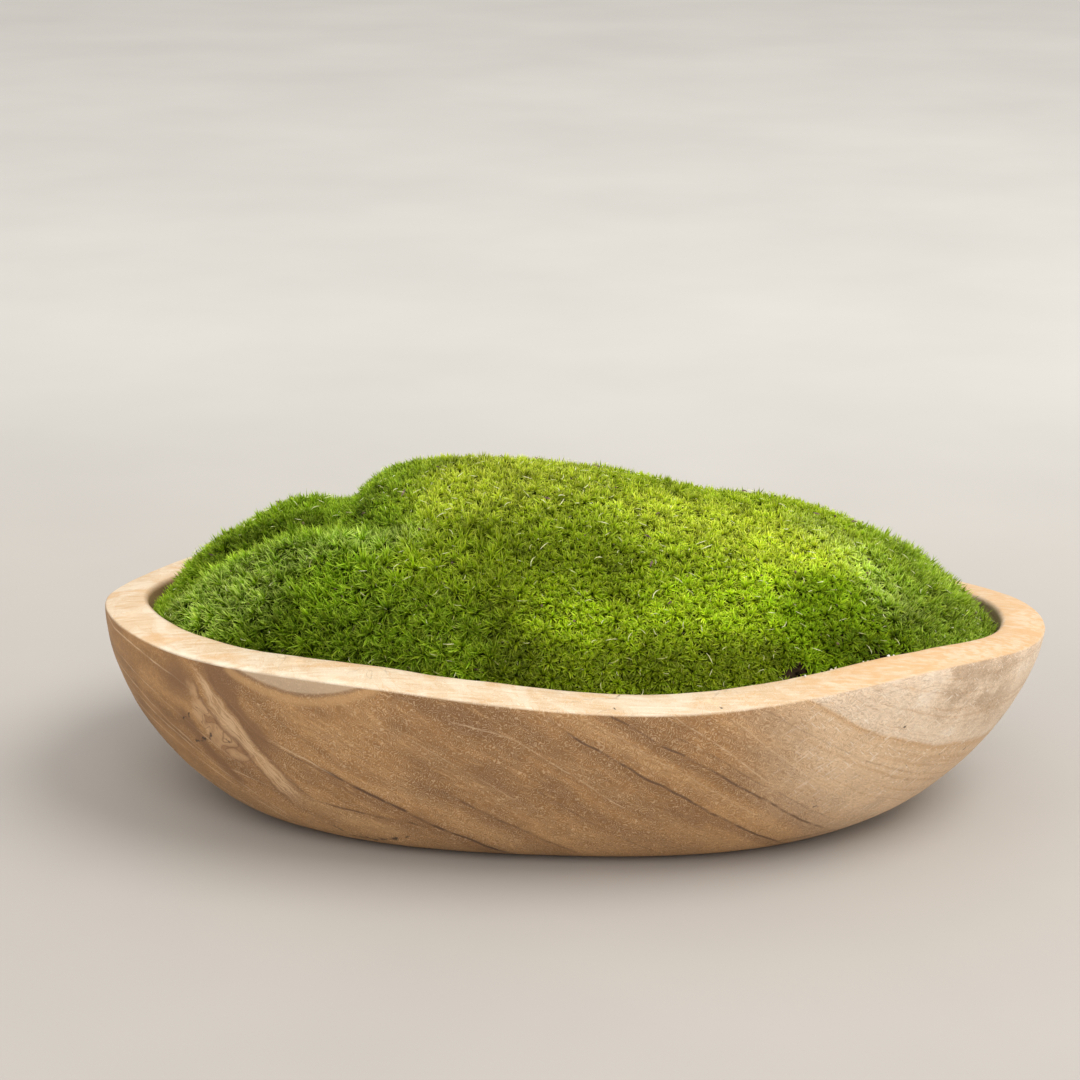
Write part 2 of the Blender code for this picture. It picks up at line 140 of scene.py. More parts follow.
# Cracks: start, end, half width. Pits: place, radius
CRACKS = (
    ((-0.0908, -0.0883, 0.0129), (-0.0849, -0.0850, 0.0075), 0.0009),
    ((-0.0849, -0.0850, 0.0075), (-0.0741, -0.0867, 0.0064), 0.0011),
    ((-0.0741, -0.0867, 0.0064), (-0.0651, -0.0923, 0.0098), 0.0016),
    ((-0.0651, -0.0923, 0.0098), (-0.0581, -0.0960, 0.0131), 0.0008),
    ((-0.1527, -0.0779, 0.0535), (-0.1478, -0.0824, 0.0589), 0.0008),
    ((-0.1482, -0.0777, 0.0439), (-0.1411, -0.0837, 0.0470), 0.0008),
    ((-0.1411, -0.0837, 0.0470), (-0.1399, -0.0851, 0.0500), 0.0007),
    ((-0.1334, -0.0889, 0.0499), (-0.1314, -0.0894, 0.0475), 0.0007),
    ((0.1515, -0.0705, 0.0436), (0.1571, -0.0659, 0.0450), 0.0009),
    ((0.1630, -0.0570, 0.0400), (0.1700, -0.0480, 0.0440), 0.0009),
    ((0.1320, -0.0880, 0.0556), (0.1350, -0.0860, 0.0545), 0.0010),
    ((0.1340, -0.0850, 0.0815), (0.1560, -0.0720, 0.0790), 0.0007),
    ((0.1440, -0.0800, 0.0760), (0.1700, -0.0550, 0.0745), 0.0006),
    ((-0.1500, -0.0800, 0.0822), (-0.1280, -0.0950, 0.0806), 0.0005),
    ((-0.1400, -0.0820, 0.0822), (-0.1180, -0.0960, 0.0808), 0.0004),
    ((0.0247, -0.0985, 0.0788), (0.0232, -0.1180, 0.0775), 0.0005),
)
PITS = (
    ((0.0635, -0.1126, 0.0780), 0.0010),
    ((0.1366, -0.0880, 0.0625), 0.0008),
    ((0.1382, -0.0796, 0.0419), 0.0007),
    ((0.1021, -0.0923, 0.0291), 0.0006),
    ((0.0900, -0.1060, 0.0560), 0.0006),
)

# The wood's colours, beside those that are settings, with painted highlight and shade
STAIN = (0.52, 0.375, 0.245)
CREAM = (0.95, 0.83, 0.68)
TORN_WOOD = (0.40, 0.275, 0.175)
SCRATCH = (0.97, 0.86, 0.71)
RAISED_FIBRE = (0.42, 0.30, 0.20)
LENS = (0.62, 0.465, 0.310)
LENS_EDGE = (0.26, 0.17, 0.105)
RIM_STREAK = (0.86, 0.74, 0.57)
RIM_FLECK = (0.90, 0.80, 0.64)
RIM_HAIR = (0.36, 0.27, 0.19)
# Painted highlight of the rim's outer edge
PAINTED_EDGE_HIGHLIGHT = (0.90, 0.79, 0.62)
CRACK = (0.060, 0.040, 0.028)
# Painted shade for the inner wall
PAINTED_SHADE_INSIDE = (0.16, 0.095, 0.05)
KNOT_SHADE = (0.235, 0.120, 0.055)
KNOT_HEART = ((0.36, 0.190, 0.088), (0.62, 0.385, 0.200))
KNOT_LINE = (0.17, 0.082, 0.038)
KNOT_FIBRE = (0.30, 0.16, 0.075)
FLARE = (0.70, 0.465, 0.265)
FLARE_EDGE = (0.21, 0.105, 0.050)

# Patterns: the share of a pulse, a spot and a streak that is full, how far a grain line fades at
# its ends, the range that noise mostly keeps to, and the middle of a colour of noise
PULSE_CORE = 0.15
SPOT_CORE = 0.4
STREAK_CORE = 0.2
TRACE_FADE = 0.006
NOISE_RANGE = (0.3, 0.7)
HALF = (0.5, 0.5, 0.5)

# How finely the bowl is made: steps round it, rows on each wall, over the rim and its edges
BOWL_STEPS = 288
WALL_ROWS = 44
INNER_ROWS = 26
RIM_ROWS = 5
EDGE_ROWS = 4
FLOOR_SHARES = (0.7, 0.4, 0.1, 0.0)

# Rows crowd towards the rim inside, and towards the foot outside, by these powers
INNER_CROWDING = 1.5
WALL_CROWDING = 1.4

# Soil: seed of its hollows, their depth, and how far up a corner has to face to have one
SOIL_SEED = 5
HOLLOW_DEPTH = 0.0012
FACES_UP = 0.3

# Moss solids: a tuft's tip has four edges and stands above its four corners
TIP_EDGES = 4
TIP_LEAST_RISE = 0.0004
SAME_PLACE = 0.00002

# Seams that have grown shut: how far each edge comes up and out, and where that is done
SEAM_FILL = {
    "moss_fold": (0.0015, 0.0020),
    "moss_crown": (0.0030, 0.0035),
    "moss_right_end": (0.0030, 0.0035),
}
SEAM_FROM_X = -0.070
SEAM_SHARE = 0.93
SKIN_HALF_LENGTH = 0.1815
SKIN_HALF_WIDTH = 0.1025

# One blade: shares of its length and of its width at its stations, the tip last
BLADE_STATIONS = (0.0, 0.48, 1.0)
BLADE_WIDTHS = (0.8, 0.92, 0.0)
BLADE_ALONG = (0.0, 0.0, 0.48, 0.48, 1.0)
BLADE_ACROSS = (0.0, 1.0, 0.0, 1.0, 0.5)
BLADE_FACES = ((0, 1, 3, 2), (2, 3, 4))
TUFT_KINDS = 9
FIRST_TUFT_SEED = 40
STEM_RADIUS = 0.0005
TUFT_STRAY = 0.22

# Blades follow each other round the stem by this share of a turn
GOLDEN_TURN = 0.382

# A blade's cell in the map for baking: its margin, and the share that the blade fills
CELL_MARGIN = 0.12
CELL_FILL = 0.76

# Growth of each cushion: blade length and width, length spread, tilt from the stem (degrees,
# least and most), bend (degrees), blades in a tuft, spacing of tufts, lean (x, y, z)
Growth = namedtuple("Growth", "length width spread tilt bend blades spacing lean")
GROWTH = {
    "moss_back_left": Growth(0.0050, 0.00058, 0.24, (3, 48), 42, 36, 0.00252,
                             (-0.45, 0.10, 0.75)),
    "moss_front_left": Growth(0.0060, 0.00064, 0.26, (2, 40), 52, 34, 0.00252,
                              (-0.60, 0.10, 1.00)),
    "moss_fold": Growth(0.0062, 0.00064, 0.26, (4, 70), 42, 50, 0.00335,
                        (-0.05, -0.10, 0.55)),
    "moss_crown": Growth(0.0040, 0.00060, 0.28, (5, 72), 46, 36, 0.00246,
                         (0.00, 0.00, 0.40)),
    "moss_right_end": Growth(0.0054, 0.00060, 0.28, (3, 56), 62, 36, 0.00258,
                             (0.30, -0.05, 0.60)),
}
CROWN_PARTS = (-1.0, -0.062, -0.027, 0.006, 0.042, 0.085, 1.0)
ROOT_DEPTH = 0.0008
ROOT_UNEVEN = 0.0008
MAT_DEPTH = 0.0019
MAT_THICKNESS = 0.004

# Greens: shade at the root, leaf, tip
CROWN_GREENS = ((0.050, 0.080, 0.002), (0.345, 0.485, 0.006), (0.70, 0.81, 0.095))
# The crown's top and right shoulder: yellower greens, made brighter as painted light
TOP_GREENS_AND_PAINTED_LIGHT = ((0.065, 0.090, 0.004), (0.420, 0.510, 0.018), (0.82, 0.88, 0.150))
LEFT_GREENS = ((0.026, 0.052, 0.002), (0.215, 0.355, 0.006), (0.56, 0.74, 0.075))
RIGHT_GREENS = ((0.032, 0.058, 0.003), (0.255, 0.385, 0.014), (0.60, 0.76, 0.120))
PATCH_GREENS = ((0.024, 0.047, 0.002), (0.225, 0.355, 0.004), (0.46, 0.64, 0.030))
PATCH_PLACE = (0.113, -0.066, 0.095)
# Painted highlight on the tips of the ridges
PAINTED_HIGHLIGHT_TIP = (0.62, 0.74, 0.20)
DRY_BLADE = (0.78, 0.72, 0.28)

# Painted light and shade of the moss, in runs (crease, hollows, ridges): start, end, reach, gain
PAINTED_MOSS_LIGHT_AND_SHADE = (
    ((-0.160, -0.006, 0.0970), (-0.137, -0.007, 0.1080), 0.010, 0.78),
    ((-0.137, -0.007, 0.1080), (-0.112, -0.001, 0.1150), 0.011, 0.70),
    ((-0.112, -0.001, 0.1150), (-0.096, -0.006, 0.1180), 0.010, 0.78),
    ((-0.140, -0.034, 0.1080), (-0.088, -0.046, 0.1250), 0.012, 1.15),
    ((-0.087, -0.020, 0.1220), (-0.084, 0.006, 0.1270), 0.008, 0.60),
    ((-0.160, -0.052, 0.0880), (-0.090, -0.058, 0.1200), 0.026, 1.15),
    ((0.110, -0.076, 0.0930), (0.126, -0.071, 0.0880), 0.012, 0.55),
    ((-0.075, -0.088, 0.0940), (-0.040, -0.092, 0.0960), 0.030, 0.90),
    ((-0.130, -0.078, 0.0900), (-0.085, -0.088, 0.0920), 0.018, 0.75),
    ((-0.035, -0.062, 0.1190), (0.010, -0.060, 0.1180), 0.042, 0.78),
    ((-0.020, -0.095, 0.0870), (0.085, -0.086, 0.0850), 0.018, 0.58),
    ((0.040, -0.010, 0.1240), (0.108, -0.030, 0.1120), 0.048, 1.28),
    ((0.010, -0.088, 0.1030), (0.080, -0.068, 0.1120), 0.034, 1.34),
)

# Runs of painted highlight, where the tips on the ridges are painted pale: start, end, reach
PAINTED_TIP_HIGHLIGHTS = (
    ((-0.161, -0.043, 0.0890), (-0.126, -0.048, 0.1085), 0.015),
    ((-0.126, -0.048, 0.1085), (-0.108, -0.055, 0.1180), 0.014),
    ((-0.108, -0.055, 0.1180), (-0.062, -0.050, 0.1260), 0.013),
    ((-0.160, -0.055, 0.0880), (-0.125, -0.062, 0.1040), 0.022),
    ((0.104, 0.002, 0.1190), (0.118, -0.020, 0.1100), 0.020),
    ((0.118, -0.020, 0.1100), (0.136, -0.045, 0.0960), 0.018),
)
# The right shoulder's run of yellower greens with painted light: start, end, reach
SHOULDER_RUN_AND_PAINTED_LIGHT = ((0.040, -0.005, 0.1240), (0.108, -0.025, 0.1120), 0.050)
FOLD_GREEN = ((-0.076, -0.085, 0.0980), (-0.044, -0.093, 0.0940), 0.036)

# Places at the rim where the soil shows through: place, radius. The mat turns to peat this far
# beyond the radius, and wholly so within this share of the way
GAPS = (
    ((0.0900, -0.0875, 0.0835), 0.0034),
    ((0.0960, -0.0862, 0.0835), 0.0036),
    ((0.1020, -0.0845, 0.0835), 0.0030),
    ((0.1152, -0.0700, 0.0946), 0.0022),
    ((0.1265, -0.0708, 0.0845), 0.0032),
)
GAP_EDGE = 0.005
GAP_CORE = 0.6

# Litter: stations of a strand, height over the skin, how uneven that is, what its seed adds
STRAND_STATIONS = 4
LITTER_HEIGHT = 0.0021
LITTER_UNEVEN = 0.0008
LITTER_SEED = 11

# Grit on the rim: its run, its number, least height, stray, least and most radius, seed
GRIT_RUN = ((0.0960, -0.0880, 0.0), (0.1320, -0.0720, 0.0))
GRIT_COUNT = 60
GRIT_LEAST_HEIGHT = 0.078
GRIT_STRAY = 0.0016
GRIT_RADII = (0.00025, 0.00065)
GRIT_SEED = 12

# Stage: half the floor's width, where the lights aim, and each light's place and size
FLOOR_HALF = 7.0
LIGHT_AIM = (0.0, 0.0, 0.06)
LIGHTS = (
    ("key", (2.2, -0.30, 3.4), 2.6),
    ("fill", (0.5, -2.8, 2.3), 2.4),
)

# Photograph's camera: height and turn in degrees, distance, aim, slide across and up, and
# lens and sensor in millimetres
CAMERA_HEIGHT = 18.0
CAMERA_TURN = 4.0
CAMERA_DISTANCE = 1.0343
CAMERA_AIM = (0.0, 0.0, 0.061)
CAMERA_SLIDE = (-0.0134, 0.0443)
CAMERA_LENS = 80.0
CAMERA_SENSOR = 36.0


# Node trees
def pick(sockets, name):
    """The socket in use that has this name or place."""
    if isinstance(name, int):
        return sockets[name]
    return next(socket for socket in sockets if socket.name == name and socket.enabled)


class Net:
    """A node tree being wired: it adds nodes and joins or sets their sockets."""

    def __init__(self, tree):
        self.tree = tree

    def put(self, socket, value):
        """Join a socket to another one, or give it a plain value."""
        if isinstance(value, bpy.types.NodeSocket):
            self.tree.links.new(value, socket)
        elif socket.type == "RGBA" and len(value) == 3:
            socket.default_value = (*value, 1.0)
        else:
            socket.default_value = value

    def add(self, kind, inputs=None, **settings):
        """A new node with these settings and with these inputs, by name or place."""
        node = self.tree.nodes.new(kind)
        for name, value in settings.items():
            setattr(node, name, value)
        for name, value in (inputs or {}).items():
            self.put(pick(node.inputs, name), value)
        return node

    def step(self, kind, inputs=None, **settings):
        """The first output of a new node."""
        return self.add(kind, inputs, **settings).outputs[0]

    def math(self, operation, *values, clamp=False):
        """One operation on numbers."""
        inputs = dict(enumerate(values))
        return self.step("ShaderNodeMath", inputs, operation=operation, use_clamp=clamp)

    def times(self, value, *factors):
        """A number times one or more others."""
        for factor in factors:
            value = self.math("MULTIPLY", value, factor)
        return value

    def plus(self, value, other):
        """The sum of two numbers."""
        return self.math("ADD", value, other)

    def less(self, value, other):
        """The first number less the second."""
        return self.math("SUBTRACT", value, other)

    def scaled(self, value, factor, base):
        """A base with a number times a factor added to it."""
        return self.math("MULTIPLY_ADD", value, factor, base)

    def vector(self, operation, *values, scale=None):
        """One operation on vectors."""
        inputs = dict(enumerate(values))
        if scale is not None:
            inputs["Scale"] = scale
        node = self.add("ShaderNodeVectorMath", inputs, operation=operation)
        gives_number = operation in ("DOT_PRODUCT", "LENGTH", "DISTANCE")
        return node.outputs["Value" if gives_number else "Vector"]

    def dot(self, vector, other):
        """The dot product of two vectors."""
        return self.vector("DOT_PRODUCT", vector, other)

    def noise(self, where, scale, detail=2.0, roughness=0.5, twist=0.0, out="Fac"):
        """Noise at these places, as a number or as a colour."""
        inputs = {"Vector": where, "Scale": scale, "Detail": detail, "Roughness": roughness}
        return self.add("ShaderNodeTexNoise", {**inputs, "Distortion": twist}).outputs[out]

    def stretch(self, where, sizes, turn=0.0):
        """Places turned about Y, then drawn out by these sizes."""
        inputs = {"Vector": where, "Scale": sizes, "Rotation": (0.0, turn, 0.0)}
        return self.step("ShaderNodeMapping", inputs, vector_type="TEXTURE")

    def remap(self, value, low, high, to_low=0.0, to_high=1.0, curve="SMOOTHSTEP"):
        """Map low..high to the new range, held at its ends."""
        inputs = {"Value": value, "From Min": low, "From Max": high}
        inputs.update({"To Min": to_low, "To Max": to_high})
        return self.step("ShaderNodeMapRange", inputs, interpolation_type=curve)

    def evenly(self, noise, low, high):
        """Noise spread in a straight line over a range."""
        return self.remap(noise, *NOISE_RANGE, low, high, "LINEAR")

    def mix(self, factor, first, second):
        """The second colour over the first, by this factor."""
        inputs = {"Factor": factor, "A": first, "B": second}
        return pick(self.add("ShaderNodeMix", inputs, data_type="RGBA").outputs, "Result")

    def lay(self, base, colour, mask, share):
        """A colour laid over a base where a mask is 1, at this share of its strength."""
        return self.mix(self.times(mask, share), base, colour)

    def ramp(self, factor, *stops):
        """A colour ramp of (place, colour) stops."""
        node = self.add("ShaderNodeValToRGB", {"Fac": factor})
        while len(node.color_ramp.elements) < len(stops):
            node.color_ramp.elements.new(0.5)
        for element, (place, colour) in zip(node.color_ramp.elements, stops):
            element.position = place
            element.color = (*colour, 1.0)
        return node.outputs["Color"]

    def attribute(self, name):
        """A number that the mesh's points carry."""
        return self.add("ShaderNodeAttribute", attribute_name=name).outputs["Fac"]

    def combine(self, x, y, z):
        """A vector of three numbers."""
        return self.step("ShaderNodeCombineXYZ", {"X": x, "Y": y, "Z": z})

    def split(self, vector):
        """The three numbers of a vector."""
        return self.add("ShaderNodeSeparateXYZ", {"Vector": vector}).outputs


def new_material(name, preview):
    """A material, its wiring, its shader and the places that its patterns are read at."""
    material = bpy.data.materials.new(name)
    material.use_nodes = True
    material.diffuse_color = (*preview, 1.0)
    net = Net(material.node_tree)
    shader = material.node_tree.nodes["Principled BSDF"]
    where = net.add("ShaderNodeTexCoord").outputs["Object"]
    return material, net, shader, where


def finish(net, shader, colour, roughness, specular=None, relief=None):
    """Wire a shader; relief is its strength, its depth and its height."""
    net.put(shader.inputs["Base Color"], colour)
    net.put(shader.inputs["Roughness"], roughness)
    if specular is not None:
        net.put(shader.inputs["Specular IOR Level"], specular)
    if relief:
        inputs = dict(zip(("Strength", "Distance", "Height"), relief))
        net.put(shader.inputs["Normal"], net.step("ShaderNodeBump", inputs))


def new_tree(name, sockets):
    """A geometry node tree with these inputs after its geometry: (name, kind, default)."""
    tree = bpy.data.node_groups.new(name, "GeometryNodeTree")
    tree.is_modifier = True
    face = tree.interface
    face.new_socket(name="Geometry", in_out="INPUT", socket_type="NodeSocketGeometry")
    face.new_socket(name="Geometry", in_out="OUTPUT", socket_type="NodeSocketGeometry")
    for label, kind, default in sockets:
        socket = face.new_socket(name=label, in_out="INPUT", socket_type="NodeSocket" + kind)
        if default is not None:
            socket.default_value = default
    net = Net(tree)
    given = net.add("NodeGroupInput").outputs
    return tree, net, given, net.add("NodeGroupOutput").inputs[0]


def end_tree(net, geometry, material, result):
    """Make a tree's geometry real, paint it and hand it out."""
    real = net.step("GeometryNodeRealizeInstances", {"Geometry": geometry})
    inputs = {"Geometry": real, "Material": material}
    net.put(result, net.step("GeometryNodeSetMaterial", inputs))


def named(net, name):
    """The value of a named number on the geometry."""
    node = net.add("GeometryNodeInputNamedAttribute", {"Name": name}, data_type="FLOAT")
    return pick(node.outputs, "Attribute")


def random_value(net, low, high, seed, kind="FLOAT"):
    """A draw between two values for each point."""
    inputs = {"Min": low, "Max": high, "Seed": seed}
    return pick(net.add("FunctionNodeRandomValue", inputs, data_type=kind).outputs, "Value")


def evaluated_mesh(holder, name):
    """The mesh that an object's modifiers make of it; the object itself goes."""
    evaluated = holder.evaluated_get(bpy.context.evaluated_depsgraph_get())
    mesh = bpy.data.meshes.new_from_object(evaluated)
    bpy.data.objects.remove(holder)
    mesh.name = name
    return mesh


def run_tree(base, tree, values, name):
    """Run a tree on a mesh and return the result as a plain object with no modifier."""
    holder = add_piece(name + "_base", base)
    modifier = holder.modifiers.new("shape", "NODES")
    modifier.node_group = tree
    for item in tree.interface.items_tree:
        if item.in_out == "INPUT" and item.name in values:
            modifier[item.identifier] = values[item.name]
    return add_piece(name, evaluated_mesh(holder, name))


def add_piece(name, mesh):
    """An object at the origin for this mesh."""
    piece = bpy.data.objects.new(name, mesh)
    bpy.context.scene.collection.objects.link(piece)
    return piece


def mesh_from(bm, name):
    """A new mesh of a bmesh, which is given up."""
    mesh = bpy.data.meshes.new(name)
    bm.to_mesh(mesh)
    bm.free()
    return mesh


def point_out(bm):
    """Turn the faces of a closed body so that they point out of it."""
    bmesh.ops.recalc_face_normals(bm, faces=bm.faces)
    if bm.calc_volume(signed=True) < 0:
        bmesh.ops.reverse_faces(bm, faces=bm.faces)


def dress(piece, slot, *nodes):
    """Say what a finished piece rides on and which solids it stands for. The slot is not used."""
    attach(piece, BODY)
    if nodes:
        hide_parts(*nodes)


# Wood
def pulse(net, value, centre, half_width):
    """1 where the value is at the centre, falling to 0 at half the width to either side."""
    off = net.math("ABSOLUTE", net.less(value, centre))
    return net.remap(off, half_width, half_width * PULSE_CORE)


def spot(net, where, centre, radius, inner=SPOT_CORE):
    """1 inside a ball, falling to 0 at its radius."""
    return net.remap(net.vector("DISTANCE", where, centre), radius, radius * inner)


def streak(net, where, start, end, half_width):
    """1 on the line between two points, falling to 0 at half the width beside it."""
    start, run = Vector(start), Vector(end) - Vector(start)
    from_start = net.vector("SUBTRACT", where, tuple(start))
    share = net.dot(from_start, tuple(run / run.length_squared))
    share = net.math("ADD", share, 0.0, clamp=True)
    nearest = net.vector("SCALE", tuple(run), scale=share)
    off = net.vector("LENGTH", net.vector("SUBTRACT", from_start, nearest))
    return net.remap(off, half_width, half_width * STREAK_CORE)


def most(net, values):
    """The highest of several values."""
    highest = values[0]
    for value in values[1:]:
        highest = net.math("MAXIMUM", highest, value)
    return highest


def between(net, value, low, high, fade):
    """1 between two values, falling to 0 over a distance beyond them."""
    return net.times(net.remap(value, low - fade, low), net.remap(value, high + fade, high))


def traces(net, grain, lines, shift=0.0, wider=1.0):
    """Grain lines, each followed along the bowl at its own level of the field."""
    found = []
    for start, end, first, last, half_width, strength in lines:
        slope = (last - first) / (end - start)
        level = net.scaled(grain.x, slope, first - slope * start + shift)
        line = pulse(net, net.less(grain.field, level), 0.0, half_width * wider)
        reach = net.times(net.remap(grain.x, start - TRACE_FADE, start + TRACE_FADE),
                          net.remap(grain.x, end + TRACE_FADE, end - TRACE_FADE))
        found.append(net.times(line, reach, strength))
    return most(net, found)


def grain_at(net, where):
    """The place itself, and how the grain runs there: its growth, along it and across it."""
    grain = SimpleNamespace()
    grain.x, grain.y, grain.z = net.split(where)
    grain.rim, grain.inside = net.attribute("rim"), net.attribute("inside")
    broad = net.noise(where, 16.0, 3.0, 0.5)
    field = net.dot(where, GRAIN_FIELD)
    far_end = net.math("MAXIMUM", net.less(grain.x, 0.118), 0.0)
    field = net.scaled(net.math("POWER", far_end, 2.0), -6.5, field)
    grain.ripple = net.less(net.noise(where, 24.0, 3.0, 0.55), 0.5)
    grain.field = net.scaled(grain.ripple, 0.0075, field)
    grain.wide = net.scaled(net.less(broad, 0.5), 0.020, grain.field)
    grain.along = net.dot(where, GRAIN_ALONG)
    grain.across = net.dot(where, GRAIN_ACROSS)
    return grain


def heartwood(net, where, grain, look):
    """Bands of growth, and fibres that run with the grain."""
    bands = net.noise(net.combine(grain.wide, net.times(grain.along, 0.10),
                                  net.times(grain.across, 0.15)), 75.0, 2.0, 0.5)
    threads = net.combine(grain.field, net.times(grain.along, 0.12), grain.across)
    grain.fibre = net.noise(threads, 1000.0, 2.0)
    grain.cloud = net.noise(where, 30.0, 3.0, 0.6)
    tone = net.plus(net.evenly(bands, -0.5, 0.5), net.evenly(grain.cloud, -0.35, 0.35))
    wood = net.mix(net.remap(tone, -0.58, 0.38), look.grain, look.heartwood)
    wood = net.mix(net.remap(tone, 0.0, 0.8, 0.0, 0.6), wood, look.figure)
    wood = net.lay(wood, look.figure, net.remap(grain.z, 0.034, 0.006), 0.40)
    wood = net.lay(wood, look.grain, traces(net, grain, DARK_LINES, -0.0022, 4.6), 0.84)
    return net.mix(traces(net, grain, LIGHT_BANDS), wood, look.figure)


def sapwood(net, where, grain, wood, look):
    """The right end: tan at first, and paler above a clear edge, with rings and stains."""
    turn = net.plus(grain.x, net.times(net.less(grain.cloud, 0.5), 0.030))
    turn = net.less(turn, net.remap(grain.z, 0.048, 0.010, 0.0, 0.024))
    wood = net.mix(net.remap(turn, 0.060, 0.108, 0.0, 0.92), wood, look.tan)
    grain.edge = net.remap(grain.field, 0.1130, 0.1155)
    wood = net.lay(wood, look.sapwood, grain.edge, 0.85)
    wood = net.lay(wood, look.figure, pulse(net, grain.field, 0.1125, 0.0028), 0.35)
    grain.young = net.remap(turn, 0.070, 0.105)
    rings = net.combine(grain.field, net.times(grain.along, 0.03), 0.0)
    rings = net.remap(net.noise(rings, 420.0, 3.0, 0.6), 0.50, 0.64, 0.0, 0.34)
    wood = net.mix(net.times(rings, grain.young), wood, look.heartwood)
    stain = net.noise(net.stretch(where, (2.0, 1.25, 1.0)), 75.0, 4.0, 0.65)
    stained = net.times(net.remap(stain, 0.50, 0.66, 0.0, 0.40), grain.young)
    wood = net.mix(stained, wood, STAIN)
    cream = net.times(net.remap(stain, 0.46, 0.34, 0.0, 0.50), grain.edge)
    wood = net.mix(cream, wood, CREAM)
    torn = net.times(net.remap(stain, 0.40, 0.58), spot(net, where, TORN_PLACE, TORN_REACH))
    return net.lay(wood, TORN_WOOD, torn, 0.60)


def flecks(net, where, grain, wood, look):
    """Curly flecks all over the heartwood; scratches and raised fibres on the sapwood."""
    swirl = net.times(net.noise(where, 300.0, 1.0, 0.5), 56.0)
    curl = net.math("SINE", net.scaled(grain.along, 4400.0, swirl))
    cut = net.noise(where, 1450.0, 1.0)
    fleck = net.times(net.remap(curl, 0.25, 0.90), net.remap(cut, 0.34, 0.52))
    hollow = net.remap(curl, -0.1, -0.85)
    patchy = net.remap(net.noise(where, 55.0, 2.0), 0.35, 0.60, 0.65, 1.0)
    patchy = net.times(patchy, net.remap(grain.x, 0.150, 0.070, 0.55, 1.0))
    patchy = net.times(patchy, net.remap(grain.x, -0.165, -0.120, 0.30, 1.0))
    grain.fleck = net.times(fleck, patchy)
    wood = net.lay(wood, look.grain, net.times(hollow, patchy), 0.48)
    wood = net.lay(wood, look.light_line, grain.fleck, 0.56)
    calm = net.remap(grain.x, 0.060, 0.115, 1.0, 0.60)
    furrow = net.times(net.remap(grain.fibre, 0.30, 0.65, 0.36, 0.0), calm)
    wood = net.mix(furrow, wood, look.grain)
    wood = net.mix(net.remap(grain.fibre, 0.55, 0.80, 0.0, 0.45), wood, look.figure)
    grain.rub = net.noise(net.stretch(where, (10.0, 4.0, 1.0)), 1500.0, 1.0, 0.5, 0.4)
    turns = [math.radians(turn) for turn in HATCH_TURNS]
    hatch = [net.noise(net.stretch(where, (20.0, 4.0, 1.0), turn), 1900.0, 1.0) for turn in turns]
    scratch = net.times(net.remap(most(net, hatch), 0.64, 0.74), grain.young)
    wood = net.lay(wood, SCRATCH, scratch, 0.50)
    rough = net.times(net.remap(grain.rub, 0.40, 0.30),
                      net.times(grain.edge, net.remap(grain.z, 0.064, 0.074)))
    return net.lay(wood, RAISED_FIBRE, rough, 0.45)


def grain_lines(net, where, grain, wood, look):
    """Dark and light grain lines, stronger in some places than in others."""
    grain.breaks = net.remap(net.noise(where, 110.0, 2.0), 0.38, 0.55, 0.35, 1.0)
    dark = net.times(traces(net, grain, DARK_LINES), grain.breaks)
    wood = net.mix(dark, wood, look.dark_line)
    light = net.times(traces(net, grain, LIGHT_LINES), net.times(grain.breaks, 0.7))
    return net.mix(light, wood, look.light_line)


def knot(net, where, wood):
    """The knot at the front's left: a pale swirling heart beside a bright flare of fibres."""
    from_knot = net.vector("SUBTRACT", where, KNOT)
    bend = net.less(net.noise(where, 110.0, 2.0), 0.5)
    u = net.dot(from_knot, KNOT_ALONG)
    v = net.dot(from_knot, KNOT_ACROSS)
    v = net.scaled(bend, 0.006, v)
    v = net.scaled(net.less(net.noise(where, 45.0, 1.0), 0.5), 0.010, v)
    flat = net.combine(u, v, 0.0)
    fibres = net.noise(net.combine(net.times(u, 0.08), v, 0.0), 1100.0, 2.0)

    # Darker patches above the heart and dark bands along the flare
    dark = [
        spot(net, flat, (-0.025, -0.002, 0.0), 0.014, 0.1),
        spot(net, flat, (-0.018, 0.020, 0.0), 0.015, 0.1),
        net.times(pulse(net, v, 0.0185, 0.0070), between(net, u, -0.022, 0.014, 0.012)),
        net.times(pulse(net, v, -0.0125, 0.0050), between(net, u, -0.010, 0.020, 0.010)),
    ]
    wood = net.lay(wood, KNOT_SHADE, most(net, dark), 0.82)

    # The heart
    heart = net.vector("LENGTH", net.combine(net.scaled(u, 1 / 0.022, -0.1),
                                             net.scaled(v, 1 / 0.0095, -0.20), 0.0))
    heart = net.remap(net.scaled(bend, 1.2, heart), 1.05, 0.70)
    swirl = net.noise(net.combine(u, net.times(v, 1.6), 0.0), 44.0, 2.0, 0.5, 1.2)
    body = net.mix(net.remap(swirl, 0.36, 0.52), *KNOT_HEART)
    lines = most(net, [pulse(net, swirl, level, 0.014) for level in (0.41, 0.50)])
    body = net.lay(body, KNOT_LINE, lines, 0.60)
    body = net.mix(net.remap(fibres, 0.35, 0.65, 0.25, 0.0), body, KNOT_FIBRE)
    wood = net.lay(wood, body, heart, 0.92)

    # The flare
    run = between(net, u, -0.015, 0.034, 0.014)
    narrow = net.remap(u, -0.026, 0.008, 0.0014, 0.0052)
    off = net.math("ABSOLUTE", net.less(v, 0.0100))
    flare = net.remap(net.math("DIVIDE", off, narrow), 1.15, 0.20)
    flare = net.times(flare, run)
    flare = net.times(flare, net.remap(fibres, 0.40, 0.56, 0.22, 0.90))
    wood = net.mix(flare, wood, FLARE)
    sides = most(net, [pulse(net, v, 0.0152, 0.0018), pulse(net, v, 0.0052, 0.0014)])
    return net.lay(wood, FLARE_EDGE, net.times(sides, run), 0.55)


